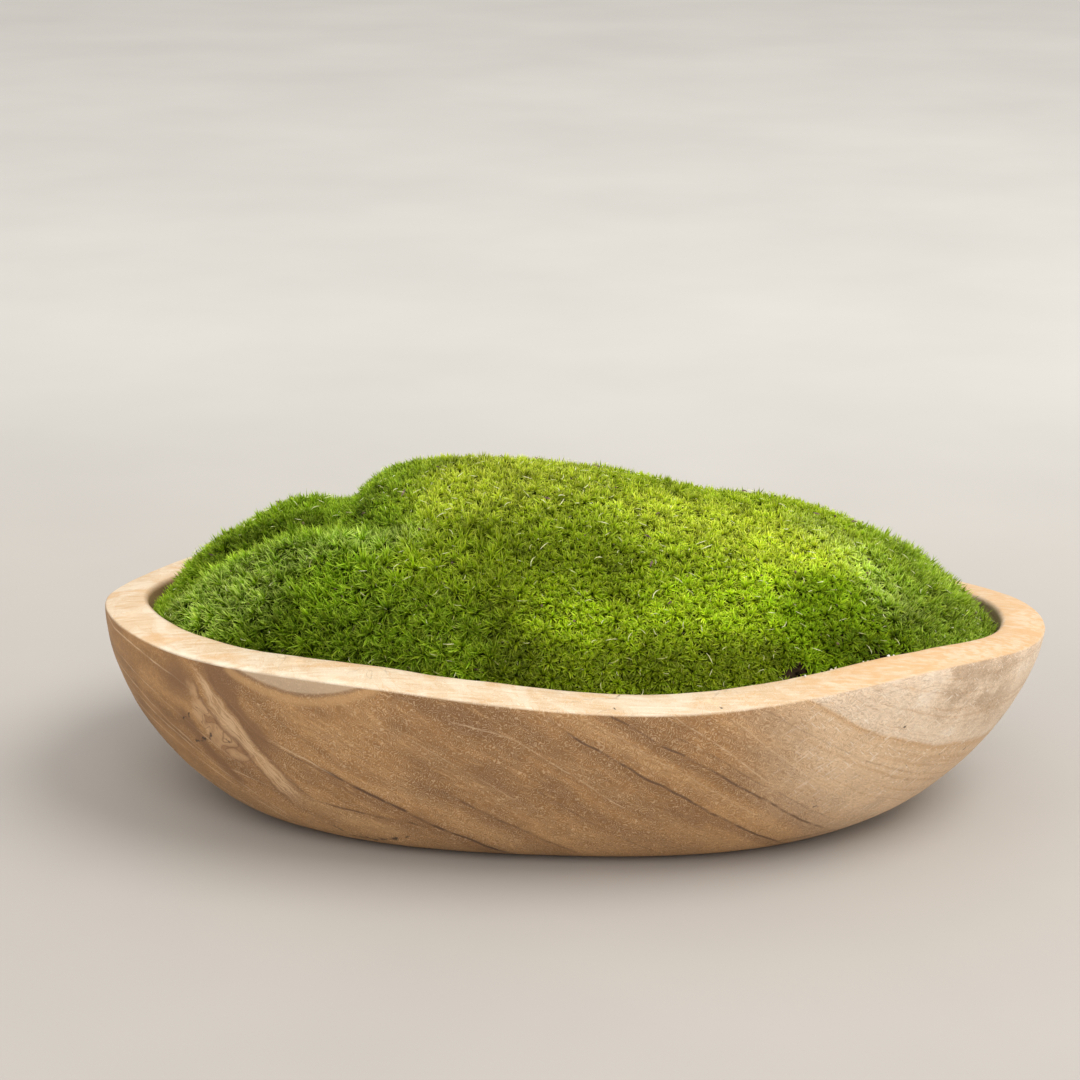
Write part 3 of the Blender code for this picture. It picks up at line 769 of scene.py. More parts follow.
def grey_lens(net, grain, wood, look):
    """A grey lens of older growth under the rim."""
    bow = net.math("POWER", net.scaled(grain.x, 1 / 0.026, 0.100 / 0.026), 2.0)
    above = net.less(net.scaled(bow, -0.006, grain.z), 0.0765)
    above = net.scaled(grain.ripple, 0.004, above)
    front = net.times(net.remap(grain.y, -0.080, -0.088),
                      between(net, grain.x, -0.130, -0.070, 0.004))
    wood = net.lay(wood, LENS, net.times(net.remap(above, -0.0004, 0.0010), front), 0.72)
    below = net.times(pulse(net, above, -0.0030, 0.0030), front)
    wood = net.lay(wood, look.figure, below, 0.60)
    edge = net.times(pulse(net, above, -0.0003, 0.0013), front)
    return net.lay(wood, LENS_EDGE, edge, 0.40)


def wood_marks(net, where):
    """Where the cracks and pits are, with uneven edges."""
    warp = net.vector("SUBTRACT", net.noise(where, 260.0, 2.0, out="Color"), HALF)
    bent = net.vector("ADD", where, net.vector("SCALE", warp, scale=0.0045))
    marks = [streak(net, bent, *crack) for crack in CRACKS]
    return most(net, marks + [spot(net, bent, *pit) for pit in PITS])


def rim_wood(net, where, grain, look):
    """Sanded wood of the rim, paler than the wall's."""
    ring = net.combine(net.times(grain.wide, 2.5), grain.along, grain.across)
    ring = net.noise(ring, 40.0, 3.0, 0.6, 0.6)
    top = net.mix(net.remap(ring, 0.36, 0.62), look.rim, look.rim_light)
    lying = net.noise(net.stretch(where, (14.0, 1.0, 1.0)), 700.0, 3.0, 0.6, 0.5)
    top = net.mix(net.remap(lying, 0.52, 0.70, 0.0, 0.42), top, look.heartwood)
    top = net.mix(net.remap(lying, 0.46, 0.30, 0.0, 0.45), top, RIM_STREAK)
    blotch = net.noise(net.stretch(where, (2.5, 1.0, 1.0)), 85.0, 3.0, 0.6)
    top = net.mix(net.remap(blotch, 0.50, 0.64, 0.0, 0.62), top, look.figure)
    top = net.lay(top, RIM_FLECK, grain.fleck, 0.35)
    tanned = net.remap(net.noise(where, 70.0, 3.0, 0.6), 0.60, 0.75, 0.0, 0.55)
    top = net.mix(tanned, top, look.tan)
    thin = most(net, [pulse(net, ring, level, 0.007) for level in (0.44, 0.53)])
    top = net.lay(top, look.figure, thin, 0.45)
    hair = pulse(net, net.noise(where, 48.0, 2.0, 0.5, 0.8), 0.5, 0.006)
    hair = net.times(hair, net.remap(net.noise(where, 20.0, 1.0), 0.5, 0.6))
    top = net.lay(top, RIM_HAIR, hair, 0.50)
    # Darker, in patches, towards the right end
    right_end_darkening = net.remap(grain.x, 0.060, 0.120, 0.0, 0.82)
    right_end_darkening = net.times(right_end_darkening, net.remap(grain.rub, 0.36, 0.60, 1.0, 0.45))
    return net.mix(right_end_darkening, top, look.figure)


def painted_edge_highlight_mask(net, grain):
    """Where a painted highlight lies pale along the rim's outer edge, at the front's left."""
    outer = net.remap(net.attribute("inset"), 0.0040, 0.0012)
    bare = net.times(net.remap(grain.rim, 0.0, 0.3),
                     between(net, grain.x, -0.150, -0.085, 0.025))
    bare = net.times(outer, bare)
    return net.times(bare, net.times(net.remap(grain.y, -0.040, -0.075), grain.breaks))


def wood_material(look):
    """Oiled hardwood: banded heartwood with dark grain lines, a knot and a pale sapwood end.

    The shader is large. If it outgrows the renderer, the wood comes out black.
    """
    material, net, shader, where = new_material("carved wood", look.heartwood)
    grain = grain_at(net, where)
    wood = heartwood(net, where, grain, look)
    wood = sapwood(net, where, grain, wood, look)
    wood = flecks(net, where, grain, wood, look)
    wood = grain_lines(net, where, grain, wood, look)
    wood = knot(net, where, wood)
    wood = grey_lens(net, grain, wood, look)
    marks = wood_marks(net, where)
    wood = net.mix(grain.rim, wood, rim_wood(net, where, grain, look))
    # Painted highlight along the rim's outer edge
    wood = net.lay(wood, PAINTED_EDGE_HIGHLIGHT, painted_edge_highlight_mask(net, grain), 0.52)
    wood = net.lay(wood, CRACK, marks, 0.88)
    # Painted shade over the inner wall
    wood = net.lay(wood, PAINTED_SHADE_INSIDE, grain.inside, 0.75)
    roughness = net.evenly(grain.fibre, 0.50, 0.66)
    height = net.scaled(grain.fleck, 0.5, net.times(grain.fibre, 0.4))
    height = net.scaled(marks, -2.0, height)
    finish(net, shader, wood, roughness, 0.35, (0.6, 0.0003, height))
    return material


def wall_share(level, foot_share, curve):
    """Half size at a level from 0, the foot, to 1, the rim, as a share of the rim's."""
    power, root = curve
    return foot_share + (1 - foot_share) * (1 - (1 - level) ** power) ** (1 / root)


def wall_row(level, at=None, inset=0.0, lift=0.0, shift=0.0, flat=False, size=1.0, rim=0.0,
             inside=0.0):
    """One row of the bowl's section; at is the level that its half sizes are read at."""
    at = level if at is None else at
    length = size * wall_share(at, FOOT_LENGTH_SHARE, LENGTH_CURVE)
    width = size * wall_share(at, FOOT_WIDTH_SHARE, WIDTH_CURVE)
    square = FOOT_SQUARENESS + (RIM_SQUARENESS - FOOT_SQUARENESS) * level
    wave = 0.0 if flat else level
    return level, length, width, inset * size, lift, shift, square, wave, rim, inside


def bowl_section(look):
    """Rows from the middle of the floor up the inside, over the rim and down to the foot."""
    thick, height = look.wall_thickness, look.rim_height
    floor = FLOOR_THICKNESS / height
    inner, outer = RIM_INNER_ROUNDING, RIM_OUTER_ROUNDING
    rows = []
    for size in reversed(FLOOR_SHARES):
        rows.append(wall_row(floor, 0.0, thick, flat=True, size=size, inside=1.0))
    for i in range(INNER_ROWS + 1):
        level = floor + (1 - inner / height - floor) * (1 - (1 - i / INNER_ROWS) ** INNER_CROWDING)
        share = max(0.0, (level - floor) / (1 - floor))
        rows.append(wall_row(level, share, thick, flat=i == 0, inside=1.0))
    for i in range(EDGE_ROWS + 1):
        turn = math.pi / 2 * i / EDGE_ROWS
        inset = thick - inner * (1 - math.cos(turn))
        lift = RIM_RISE_INWARD - inner * (1 - math.sin(turn))
        out = i / EDGE_ROWS
        rows.append(wall_row(1.0, inset=inset, lift=lift, rim=out, inside=1 - out))
    for i in range(1, RIM_ROWS):
        out = i / RIM_ROWS
        inset = thick - inner - (thick - inner - outer) * out
        lift = RIM_RISE_INWARD * (1 - out) + RIM_CROWN * math.sin(math.pi * out)
        rows.append(wall_row(1.0, inset=inset, lift=lift, rim=1.0))
    for i in range(EDGE_ROWS + 1):
        turn = math.pi / 2 * (1 - i / EDGE_ROWS)
        inset, lift = outer * (1 - math.cos(turn)), outer * (math.sin(turn) - 1)
        rows.append(wall_row(1.0, inset=inset, lift=lift, rim=1 - (i / EDGE_ROWS) ** 2))
    for i in range(1, WALL_ROWS + 1):
        level = (1 - outer / height) * (1 - i / WALL_ROWS) ** WALL_CROWDING
        rows.append(wall_row(level, shift=FOOT_SHIFT_X * (1 - level)))
    rows += [wall_row(0.0, shift=FOOT_SHIFT_X, size=s) for s in FLOOR_SHARES]
    return rows


def section_grid(rows, steps):
    """A grid mesh, rows by steps, whose points carry the numbers of their row."""
    count = len(rows)
    faces = []
    for i in range(count - 1):
        for k in range(steps):
            near, far = i * steps, (i + 1) * steps
            after = (k + 1) % steps
            faces.append((near + k, near + after, far + after, far + k))
    mesh = bpy.data.meshes.new("section")
    mesh.from_pydata([(0.0, 0.0, 0.0)] * (count * steps), [], faces)
    names = ("level", "length", "width", "inset", "lift", "shift", "square", "wave", "rim",
             "inside")
    table = np.repeat(np.array(rows, np.float32), steps, axis=0)
    for name, column in zip(names, table.T):
        mesh.attributes.new(name, "FLOAT", "POINT").data.foreach_set("value", column.copy())
    turns = np.tile(np.arange(steps, dtype=np.float32) * math.tau / steps, count)
    mesh.attributes.new("turn", "FLOAT", "POINT").data.foreach_set("value", turns)
    return mesh


def signed_power(net, value, power):
    """A number's size raised to a power, with the number's own sign."""
    return net.times(net.math("SIGN", value),
                     net.math("POWER", net.math("ABSOLUTE", value), power))


def bowl_tree():
    """The tree that lays a section's rows round the superellipse and carves their surface."""
    floats = ("Half Length", "Half Width", "Rim Height", "Carving Depth")
    sockets = [(label, "Float", 0.0) for label in floats] + [("Wood", "Material", None)]
    tree, net, given, result = new_tree("bowl", sockets)
    turn, square = named(net, "turn"), named(net, "square")
    power = net.math("DIVIDE", 2.0, square)
    place = []
    halves = (("Half Length", "length", "COSINE"), ("Half Width", "width", "SINE"))
    for label, share, wheel in halves:
        half = net.times(given[label], named(net, share))
        half = net.less(half, named(net, "inset"))
        place.append(net.times(half, signed_power(net, net.math(wheel, turn), power)))
    wave = 0.0
    for height, count, crest in RIM_WAVES:
        angle = net.times(net.less(turn, math.radians(crest)), count)
        wave = net.plus(wave, net.times(net.math("COSINE", angle), height))
    rise = net.times(named(net, "level"), given["Rim Height"])
    rise = net.plus(rise, net.times(wave, named(net, "wave")))
    rise = net.plus(rise, named(net, "lift"))
    laid = net.combine(net.plus(place[0], named(net, "shift")), place[1], rise)
    inputs = {"Geometry": given["Geometry"], "Position": laid}
    placed = net.step("GeometryNodeSetPosition", inputs)
    inputs = {"Geometry": placed, "Distance": SAME_PLACE}
    merged = net.step("GeometryNodeMergeByDistance", inputs)
    where = net.step("GeometryNodeInputPosition")
    normal = net.step("GeometryNodeInputNormal")
    broad = net.remap(net.noise(where, 26.0, 1.0), 0.25, 0.75, -1.0, 1.0, "LINEAR")
    fine = net.remap(net.noise(where, 110.0, 1.0), 0.25, 0.75, -0.25, 0.25, "LINEAR")
    depth = net.times(net.plus(broad, fine), given["Carving Depth"])
    above_foot = net.remap(net.split(where)[2], 0.001, 0.008)
    offset = net.vector("SCALE", normal, scale=net.times(depth, above_foot))
    carved = net.step("GeometryNodeSetPosition", {"Geometry": merged, "Offset": offset})
    smooth = net.step("GeometryNodeSetShadeSmooth", {"Geometry": carved})
    end_tree(net, smooth, given["Wood"], result)
    return tree


def make_bowl(look):
    """The bowl: its section, laid round and carved."""
    values = {
        "Half Length": look.half_length,
        "Half Width": look.half_width,
        "Rim Height": look.rim_height,
        "Carving Depth": look.carving_depth,
        "Wood": wood_material(look),
    }
    grid = section_grid(bowl_section(look), BOWL_STEPS)
    bowl = run_tree(grid, bowl_tree(), values, "carved_bowl")
    face_outwards(bowl.data)
    dress(bowl, "wood", "bowl")


def face_outwards(mesh):
    """Turn the faces of a closed mesh so that they point out of it."""
    bm = bmesh.new()
    bm.from_mesh(mesh)
    point_out(bm)
    bm.to_mesh(mesh)
    bm.free()


# Soil
def soil_material():
    """Dark peat with paler crumbs."""
    material, net, shader, where = new_material("peat soil", (0.035, 0.022, 0.014))
    crumbs = net.noise(where, 420.0, 6.0, 0.7)
    colour = net.ramp(crumbs, (0.25, (0.006, 0.004, 0.003)), (0.55, (0.040, 0.025, 0.015)),
                      (0.80, (0.110, 0.075, 0.045)))
    finish(net, shader, colour, 0.95, relief=(0.8, 0.001, crumbs))
    return material


def merged_copy(name):
    """A CAD node's mesh as one bmesh whose faces share their corners."""
    bm = bmesh.new()
    bm.from_mesh(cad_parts[name].data)
    bmesh.ops.remove_doubles(bm, verts=bm.verts, dist=SAME_PLACE)
    return bm


def make_soil():
    """The bed of soil, with small hollows in the solid's own surface."""
    bm = merged_copy("soil")
    bmesh.ops.subdivide_edges(bm, edges=bm.edges, cuts=2, use_grid_fill=True)
    draw = random.Random(SOIL_SEED)
    for vertex in bm.verts:
        if vertex.normal.z > FACES_UP:
            vertex.co.z -= draw.uniform(0.0, HOLLOW_DEPTH)
    mesh = mesh_from(bm, "soil_bed")
    mesh.materials.append(soil_material())
    mesh.shade_smooth()
    dress(add_piece("soil_bed", mesh), "soil", "soil")


# Moss
def is_tip(vertex):
    """Whether this corner is the point that a tuft of the solid is drawn up to."""
    if len(vertex.link_edges) != TIP_EDGES:
        return False
    around = [edge.other_vert(vertex).co.z for edge in vertex.link_edges]
    return vertex.co.z - sum(around) / TIP_EDGES > TIP_LEAST_RISE and vertex.normal.z > 0


def fill_seam(bm, raised, outward):
    """Bring the edge of a skin up and out where it meets the next cushion, right of the lobes."""
    moves = {}
    for vertex in bm.verts:
        share = (vertex.co.x / SKIN_HALF_LENGTH) ** 2 + (vertex.co.y / SKIN_HALF_WIDTH) ** 2
        if not vertex.is_boundary or share > SEAM_SHARE or vertex.co.x < SEAM_FROM_X:
            continue
        inner = [edge.other_vert(vertex) for edge in vertex.link_edges if not edge.is_boundary]
        if inner:
            away = vertex.co - inner[0].co
            away.z = 0.0
            moves[vertex.index] = away.normalized() * outward + Vector((0.0, 0.0, raised))
    for index in sorted(moves):
        bm.verts[index].co += moves[index]


def moss_skin(name):
    """The smooth surface under the tufts of a cushion's solid, as an open bmesh of quads."""
    bm = merged_copy(name)
    bm.normal_update()
    tips = [vertex for vertex in bm.verts if is_tip(vertex)]
    bmesh.ops.dissolve_verts(bm, verts=tips)
    lower = [face for face in bm.faces if len(face.verts) != 4]
    bmesh.ops.delete(bm, geom=lower, context="FACES")
    bm.verts.index_update()
    bm.verts.ensure_lookup_table()
    if name in SEAM_FILL:
        fill_seam(bm, *SEAM_FILL[name])
    bm.normal_update()
    return bm


def rounded(bm, name, levels):
    """A mesh of the skin after this many rounds of smooth subdivision."""
    mesh = bpy.data.meshes.new(name)
    bm.to_mesh(mesh)
    holder = add_piece(name, mesh)
    modifier = holder.modifiers.new("smooth", "SUBSURF")
    modifier.levels = levels
    modifier.render_levels = levels
    return evaluated_mesh(holder, name)


def bed_material():
    """Old stems: dark green, and peat where the soil shows through."""
    material, net, shader, where = new_material("moss bed", (0.08, 0.12, 0.004))
    mottle = net.noise(where, 300.0, 4.0, 0.6)
    x = net.split(where)[0]
    green = net.mix(net.remap(x, -0.045, -0.085), (0.13, 0.17, 0.006), (0.06, 0.10, 0.006))
    colour = net.mix(net.remap(mottle, 0.35, 0.65), (0.02, 0.03, 0.002), green)
    bare = most(net, [spot(net, where, place, radius + GAP_EDGE, GAP_CORE)
                      for place, radius in GAPS])
    peat = net.mix(net.remap(mottle, 0.40, 0.62), (0.006, 0.004, 0.003), (0.050, 0.032, 0.020))
    colour = net.mix(bare, colour, peat)
    finish(net, shader, colour, 0.9, 0.0, (0.6, 0.001, mottle))
    return material


def make_beds():
    """The dense mat of old stems that the shoots of each cushion stand in."""
    material = bed_material()
    for name in GROWTH:
        bm = moss_skin(name)
        piece = add_piece(name + "_mat", rounded(bm, name + "_mat", 1))
        bm.free()
        sink(piece.data, MAT_DEPTH)
        close_below(piece.data)
        piece.data.materials.clear()
        piece.data.materials.append(material)
        piece.data.shade_smooth()
        dress(piece, "moss", name)


def sink(mesh, depth):
    """Move every corner of a mesh inwards."""
    places = np.empty(len(mesh.vertices) * 3, np.float32)
    normals = np.empty_like(places)
    mesh.vertices.foreach_get("co", places)
    mesh.vertex_normals.foreach_get("vector", normals)
    mesh.vertices.foreach_set("co", places - normals * depth)
    mesh.update()


def close_below(mesh):
    """Give an open skin an underside a little below it, so that it is a closed body."""
    bm = bmesh.new()
    bm.from_mesh(mesh)
    tops = list(bm.faces)
    grown = bmesh.ops.extrude_face_region(bm, geom=tops, use_keep_orig=True)
    lower = [item for item in grown["geom"] if isinstance(item, bmesh.types.BMVert)]
    for vertex in lower:
        vertex.co.z -= MAT_THICKNESS
    point_out(bm)
    bm.to_mesh(mesh)
    bm.free()


def blade_points(draw, length, width, tilt, bend, azimuth, root):
    """The corners of one blade: two at each station and one at the tip."""
    out = Vector((math.cos(azimuth), math.sin(azimuth), 0.0))
    across = Vector((-out.y, out.x, 0.0))
    twist = draw.uniform(-0.7, 0.7)
    place = root.copy()
    points = []
    last = BLADE_STATIONS[0]
    for station, share in zip(BLADE_STATIONS, BLADE_WIDTHS):
        slope = tilt + bend * station
        along = out * math.sin(slope) + Vector((0.0, 0.0, math.cos(slope)))
        place = place + along * (length * (station - last))
        last = station
        side = Matrix.Rotation(twist, 3, along) @ across * (width * share / 2)
        if share:
            points += [place - side, place + side]
        else:
            points.append(place)
    return points


def make_tuft(seed, name, growth, width):
    """One tuft: blades round a stem, tilted outwards, each with its own length and bend."""
    steep, flat = growth.tilt
    draw = random.Random(seed)
    verts, faces, along, strand = [], [], [], []
    for i in range(growth.blades):
        azimuth = math.tau * (i * GOLDEN_TURN + draw.uniform(-0.12, 0.12))
        out = (i + 0.5) / growth.blades
        tilt = math.radians(steep + (flat - steep) * out ** 0.6 + draw.uniform(-7, 7))
        root = Vector((math.cos(azimuth), math.sin(azimuth), 0.0)) * STEM_RADIUS * out
        root.z = draw.uniform(-0.0002, 0.0003) - STEM_RADIUS * out
        own = 1 + draw.uniform(-growth.spread, growth.spread)
        long = growth.length * own * (0.86 + 0.24 * out)
        turn = growth.bend * draw.uniform(0.2, 1.5)
        curl = math.radians(turn if draw.random() < 0.72 else -0.8 * turn)
        first = len(verts)
        wide = width * draw.uniform(0.8, 1.25)
        verts += blade_points(draw, long, wide, tilt, curl, azimuth, root)
        faces += [tuple(first + corner for corner in face) for face in BLADE_FACES]
        along += BLADE_ALONG
        strand += [draw.random()] * len(BLADE_ALONG)
    mesh = bpy.data.meshes.new(name)
    mesh.from_pydata(verts, [], faces)
    for label, values in (("along", along), ("strand", strand)):
        mesh.attributes.new(label, "FLOAT", "POINT").data.foreach_set("value", values)
    return bpy.data.objects.new(name, mesh)


def tuft_box(name, growth, width):
    """A collection of tufts of several kinds for one cushion."""
    box = bpy.data.collections.new(name + "_tufts")
    for kind in range(TUFT_KINDS):
        seed = FIRST_TUFT_SEED + kind
        box.objects.link(make_tuft(seed, f"{name}_tuft_{kind}", growth, width))
    return box


def rooted_points(net, given):
    """Points on the skin where tufts stand, sunk to their roots, with their normal and place."""
    spacing = given["Spacing"]
    density = net.math("DIVIDE", 1.6, net.times(spacing, spacing))
    inputs = {"Mesh": given["Geometry"], "Distance Min": spacing, "Density Max": density}
    spread = net.add("GeometryNodeDistributePointsOnFaces", {**inputs, "Seed": given["Seed"]},
                     distribute_method="POISSON")
    where = net.step("GeometryNodeInputPosition")
    x = net.split(where)[0]
    outside = net.math("MAXIMUM", net.math("LESS_THAN", x, given["From X"]),
                       net.math("GREATER_THAN", x, given["To X"]))
    patchy = net.remap(net.noise(where, 28.0, 1.0), 0.38, 0.62, 0.15, 1.0)
    chance = net.times(patchy, given["Abundance"])
    bare = net.math("GREATER_THAN", random_value(net, 0.0, 1.0, 57), chance)
    outside = net.math("MAXIMUM", outside, bare)
    for place, radius in GAPS:
        near = net.math("LESS_THAN", net.vector("DISTANCE", where, place), radius)
        outside = net.math("MAXIMUM", outside, near)
    inputs = {"Geometry": spread.outputs["Points"], "Selection": outside}
    kept = net.step("GeometryNodeDeleteGeometry", inputs, domain="POINT")
    normal = spread.outputs["Normal"]
    uneven = net.times(random_value(net, -1.0, 1.0, 31), given["Uneven"])
    sunk = net.vector("SCALE", normal, scale=net.less(uneven, given["Root Depth"]))
    rooted = net.step("GeometryNodeSetPosition", {"Geometry": kept, "Offset": sunk})
    return rooted, normal, where


def tuft_turn(net, given, normal, where):
    """How each tuft is turned: between its normal and the lean, stray, and spun at random."""
    swirl = net.noise(where, 42.0, 2.0, 0.5, out="Color")
    swirl = net.vector("SUBTRACT", swirl, HALF)
    aim = net.vector("ADD", normal, given["Lean"])
    aim = net.vector("ADD", aim, net.vector("SCALE", swirl, scale=given["Wander"]))
    stray = random_value(net, (-TUFT_STRAY,) * 3, (TUFT_STRAY,) * 3, 3, "FLOAT_VECTOR")
    aim = net.vector("NORMALIZE", net.vector("ADD", aim, stray))
    turned = net.step("FunctionNodeAlignRotationToVector", {"Vector": aim}, axis="Z")
    spin = random_value(net, 0.0, math.tau, 7)
    inputs = {"Axis": (0.0, 0.0, 1.0), "Angle": spin}
    twirl = net.step("FunctionNodeAxisAngleToRotation", inputs)
    inputs = {"Rotation": turned, "Rotate By": twirl}
    return net.step("FunctionNodeRotateRotation", inputs, rotation_space="LOCAL")


def moss_tree():
    """The tree that sets tufts on a skin: spaced, leaning, of mixed size and colour."""
    sockets = [
        ("Tufts", "Collection", None),
        ("Spacing", "Float", 0.002),
        ("Lean", "Vector", (0.0, 0.0, 0.0)),
        ("Wander", "Float", 0.45),
        ("Least Size", "Float", 0.78),
        ("Most Size", "Float", 1.18),
        ("Root Depth", "Float", 0.0016),
        ("Uneven", "Float", 0.0),
        ("Abundance", "Float", 10.0),
        ("From X", "Float", -1.0),
        ("To X", "Float", 1.0),
        ("Seed", "Int", 0),
        ("Moss", "Material", None),
    ]
    tree, net, given, result = new_tree("moss shoots", sockets)
    rooted, normal, where = rooted_points(net, given)
    facing = tuft_turn(net, given, normal, where)
    size = random_value(net, given["Least Size"], given["Most Size"], 11)
    size = net.times(size, net.evenly(net.noise(where, 95.0, 1.0), 0.88, 1.12))
    box = net.step("GeometryNodeCollectionInfo", {"Collection": given["Tufts"],
                                                  "Separate Children": True,
                                                  "Reset Children": True})
    kind = random_value(net, 0, TUFT_KINDS - 1, 19, "INT")
    set_out = net.step("GeometryNodeInstanceOnPoints", {
        "Points": rooted,
        "Instance": box,
        "Pick Instance": True,
        "Instance Index": kind,
        "Rotation": facing,
        "Scale": net.combine(size, size, size),
    })
    marked = net.add("GeometryNodeStoreNamedAttribute", {"Geometry": set_out, "Name": "tuft"},
                     data_type="FLOAT", domain="INSTANCE")
    net.put(pick(marked.inputs, "Value"), random_value(net, 0.0, 1.0, 23))
    end_tree(net, marked.outputs[0], given["Moss"], result)
    return tree


def moss_greens(net, where, patch):
    """The greens of shade, leaf and tip: the crown's, with those of each zone laid over them."""
    x = net.plus(net.split(where)[0], net.evenly(patch, -0.012, 0.012))
    height = net.split(where)[2]
    beside = net.vector("DISTANCE", where, PATCH_PLACE)
    # The crown's top and right shoulder take yellower greens, brightened as painted light
    top_and_painted_light = most(net, [net.remap(height, 0.124, 0.134), streak(net, where, *SHOULDER_RUN_AND_PAINTED_LIGHT)])
    zones = (
        (top_and_painted_light, TOP_GREENS_AND_PAINTED_LIGHT),
        (net.remap(x, -0.045, -0.085), LEFT_GREENS),
        (net.remap(x, 0.112, 0.145), RIGHT_GREENS),
        (net.remap(beside, 0.040, 0.020), PATCH_GREENS),
        (net.times(streak(net, where, *FOLD_GREEN), 0.8), LEFT_GREENS),
    )
    parts = list(CROWN_GREENS)
    for share, greens in zones:
        parts = [net.mix(share, part, green) for part, green in zip(parts, greens)]
    return parts


def moss_mottle_and_painted_light(net, where, patch, small, strand, tuft):
    """How light each blade is: mottled and uneven, with painted light and shade in runs."""
    light = net.plus(net.evenly(patch, 0.72, 1.20), net.evenly(small, -0.16, 0.16))
    light = net.plus(light, net.remap(strand, 0.0, 1.0, -0.36, 0.36, "LINEAR"))
    light = net.plus(light, net.remap(tuft, 0.0, 1.0, -0.18, 0.18, "LINEAR"))
    # Painted light and shade: each run makes the blades lighter or darker
    for *run, gain in PAINTED_MOSS_LIGHT_AND_SHADE:
        light = net.times(light, net.scaled(streak(net, where, *run), gain - 1, 1.0))
    return light


def shoot_material():
    """Living shoots: dark at the root, light at the tip, with patches, painted light and shade,
    and a few dry blades.
    """
    material, net, shader, where = new_material("moss shoots", CROWN_GREENS[1])
    along, strand, tuft = (net.attribute(label) for label in ("along", "strand", "tuft"))
    patch = net.noise(where, 30.0, 3.0, 0.6)
    small = net.noise(where, 160.0, 2.0, 0.6)
    shade, leaf, tip = moss_greens(net, where, patch)
    colour = net.mix(net.remap(along, 0.0, 0.5), shade, leaf)
    colour = net.mix(net.remap(along, 0.55, 1.0), colour, tip)
    # Painted highlight: pale tips along the ridges of the left lobes and the right end
    pale = most(net, [streak(net, where, *run) for run in PAINTED_TIP_HIGHLIGHTS])
    pale = net.times(pale, net.remap(along, 0.40, 1.0, 0.0, 0.85))
    colour = net.mix(pale, colour, PAINTED_HIGHLIGHT_TIP)
    light = moss_mottle_and_painted_light(net, where, patch, small, strand, tuft)
    hue = net.math("FRACT", net.times(strand, 17.0))
    hue = net.remap(hue, 0.0, 1.0, 0.487, 0.511, "LINEAR")
    tinted = net.step("ShaderNodeHueSaturation", {"Color": colour, "Hue": hue, "Value": light})
    colour = net.mix(net.math("GREATER_THAN", strand, 0.988), tinted, DRY_BLADE)
    finish(net, shader, colour, 0.5, 0.14)
    through = net.step("ShaderNodeBsdfTranslucent", {"Color": colour})
    both = net.step("ShaderNodeMixShader", {0: 0.36, 1: shader.outputs[0], 2: through})
    net.put(material.node_tree.nodes["Material Output"].inputs["Surface"], both)
    return material


def lay_out_blades(mesh):
    """A map for baking: each blade has its own cell, its root below and its tip above."""
    order = [corner for face in BLADE_FACES for corner in face]
    count = len(mesh.loops) // len(order)
    side = math.ceil(math.sqrt(count))
    own = np.array([(BLADE_ACROSS[c], BLADE_ALONG[c]) for c in order], np.float32)
    cells = np.arange(count)
    corner = np.stack([cells % side, cells // side], 1).astype(np.float32)
    places = (corner[:, None, :] + CELL_MARGIN + CELL_FILL * own[None, :, :]) / side
    layer = mesh.uv_layers.new(name="OFBake")
    layer.uv.foreach_set("vector", places.reshape(-1).astype(np.float32))


def make_moss(look):
    """Shoots on every cushion; the wide crown's are made in several pieces."""
    tree = moss_tree()
    material = shoot_material()
    for place, (name, growth) in enumerate(GROWTH.items()):
        bm = moss_skin(name)
        box = tuft_box(name, growth, growth.width * look.blade_width)
        ends = CROWN_PARTS if name == "moss_crown" else (-1.0, 1.0)
        for part, (low, high) in enumerate(zip(ends, ends[1:])):
            values = {
                "Tufts": box,
                "Spacing": growth.spacing * look.spacing,
                "Lean": growth.lean,
                "Root Depth": ROOT_DEPTH,
                "Uneven": ROOT_UNEVEN,
                "From X": low,
                "To X": high,
                "Seed": look.seed + place,
                "Moss": material,
            }
            label = f"{name}_shoots" if len(ends) == 2 else f"{name}_shoots_{part + 1}"
            piece = run_tree(rounded(bm, name + "_skin", 2), tree, values, label)
            lay_out_blades(piece.data)
            dress(piece, "moss", name)
        bm.free()


# Litter
def litter_material(name, dark, light):
    """Dead plant matter or crumbs: mottled between two colours."""
    material, net, shader, where = new_material(name, light)
    mottle = net.noise(where, 700.0, 3.0, 0.6)
    broad = net.noise(where, 120.0, 1.0)
    share = net.remap(net.plus(mottle, broad), 0.75, 1.25)
    finish(net, shader, net.mix(share, dark, light), net.evenly(mottle, 0.55, 0.8), 0.25,
           (0.5, 0.0003, mottle))
    return material


def make_strand(seed, name, length, width):
    """A dry strand that lies nearly flat: a bent stalk with three sides and closed ends."""
    draw = random.Random(seed)
    turn = draw.uniform(-1.8, 1.8)
    sag = draw.uniform(-0.3, 0.6)
    pitch = draw.uniform(-0.5, 0.5)
    place = Vector((-length / 2, 0.0, 0.0))
    verts, faces = [], []
    for i in range(STRAND_STATIONS):
        share = i / (STRAND_STATIONS - 1)
        angle = turn * (share - 0.5)
        ahead = Vector((math.cos(angle), math.sin(angle), pitch + sag * (0.5 - share)))
        side = Vector((-ahead.y, ahead.x, 0.0)) * width * (1 - 0.7 * abs(2 * share - 1) ** 2) / 2
        verts += [place - side, place + side, place + Vector((0.0, 0.0, side.length * 1.2))]
        place = place + ahead * length / (STRAND_STATIONS - 1)
        if i:
            a = 3 * (i - 1)
            faces += [(a + k, a + 3 + k, a + 3 + (k + 1) % 3, a + (k + 1) % 3) for k in range(3)]
    last = 3 * (STRAND_STATIONS - 1)
    faces += [(0, 1, 2), (last, last + 2, last + 1)]
    mesh = bpy.data.meshes.new(name)
    mesh.from_pydata(verts, [], faces)
    face_outwards(mesh)
    return bpy.data.objects.new(name, mesh)


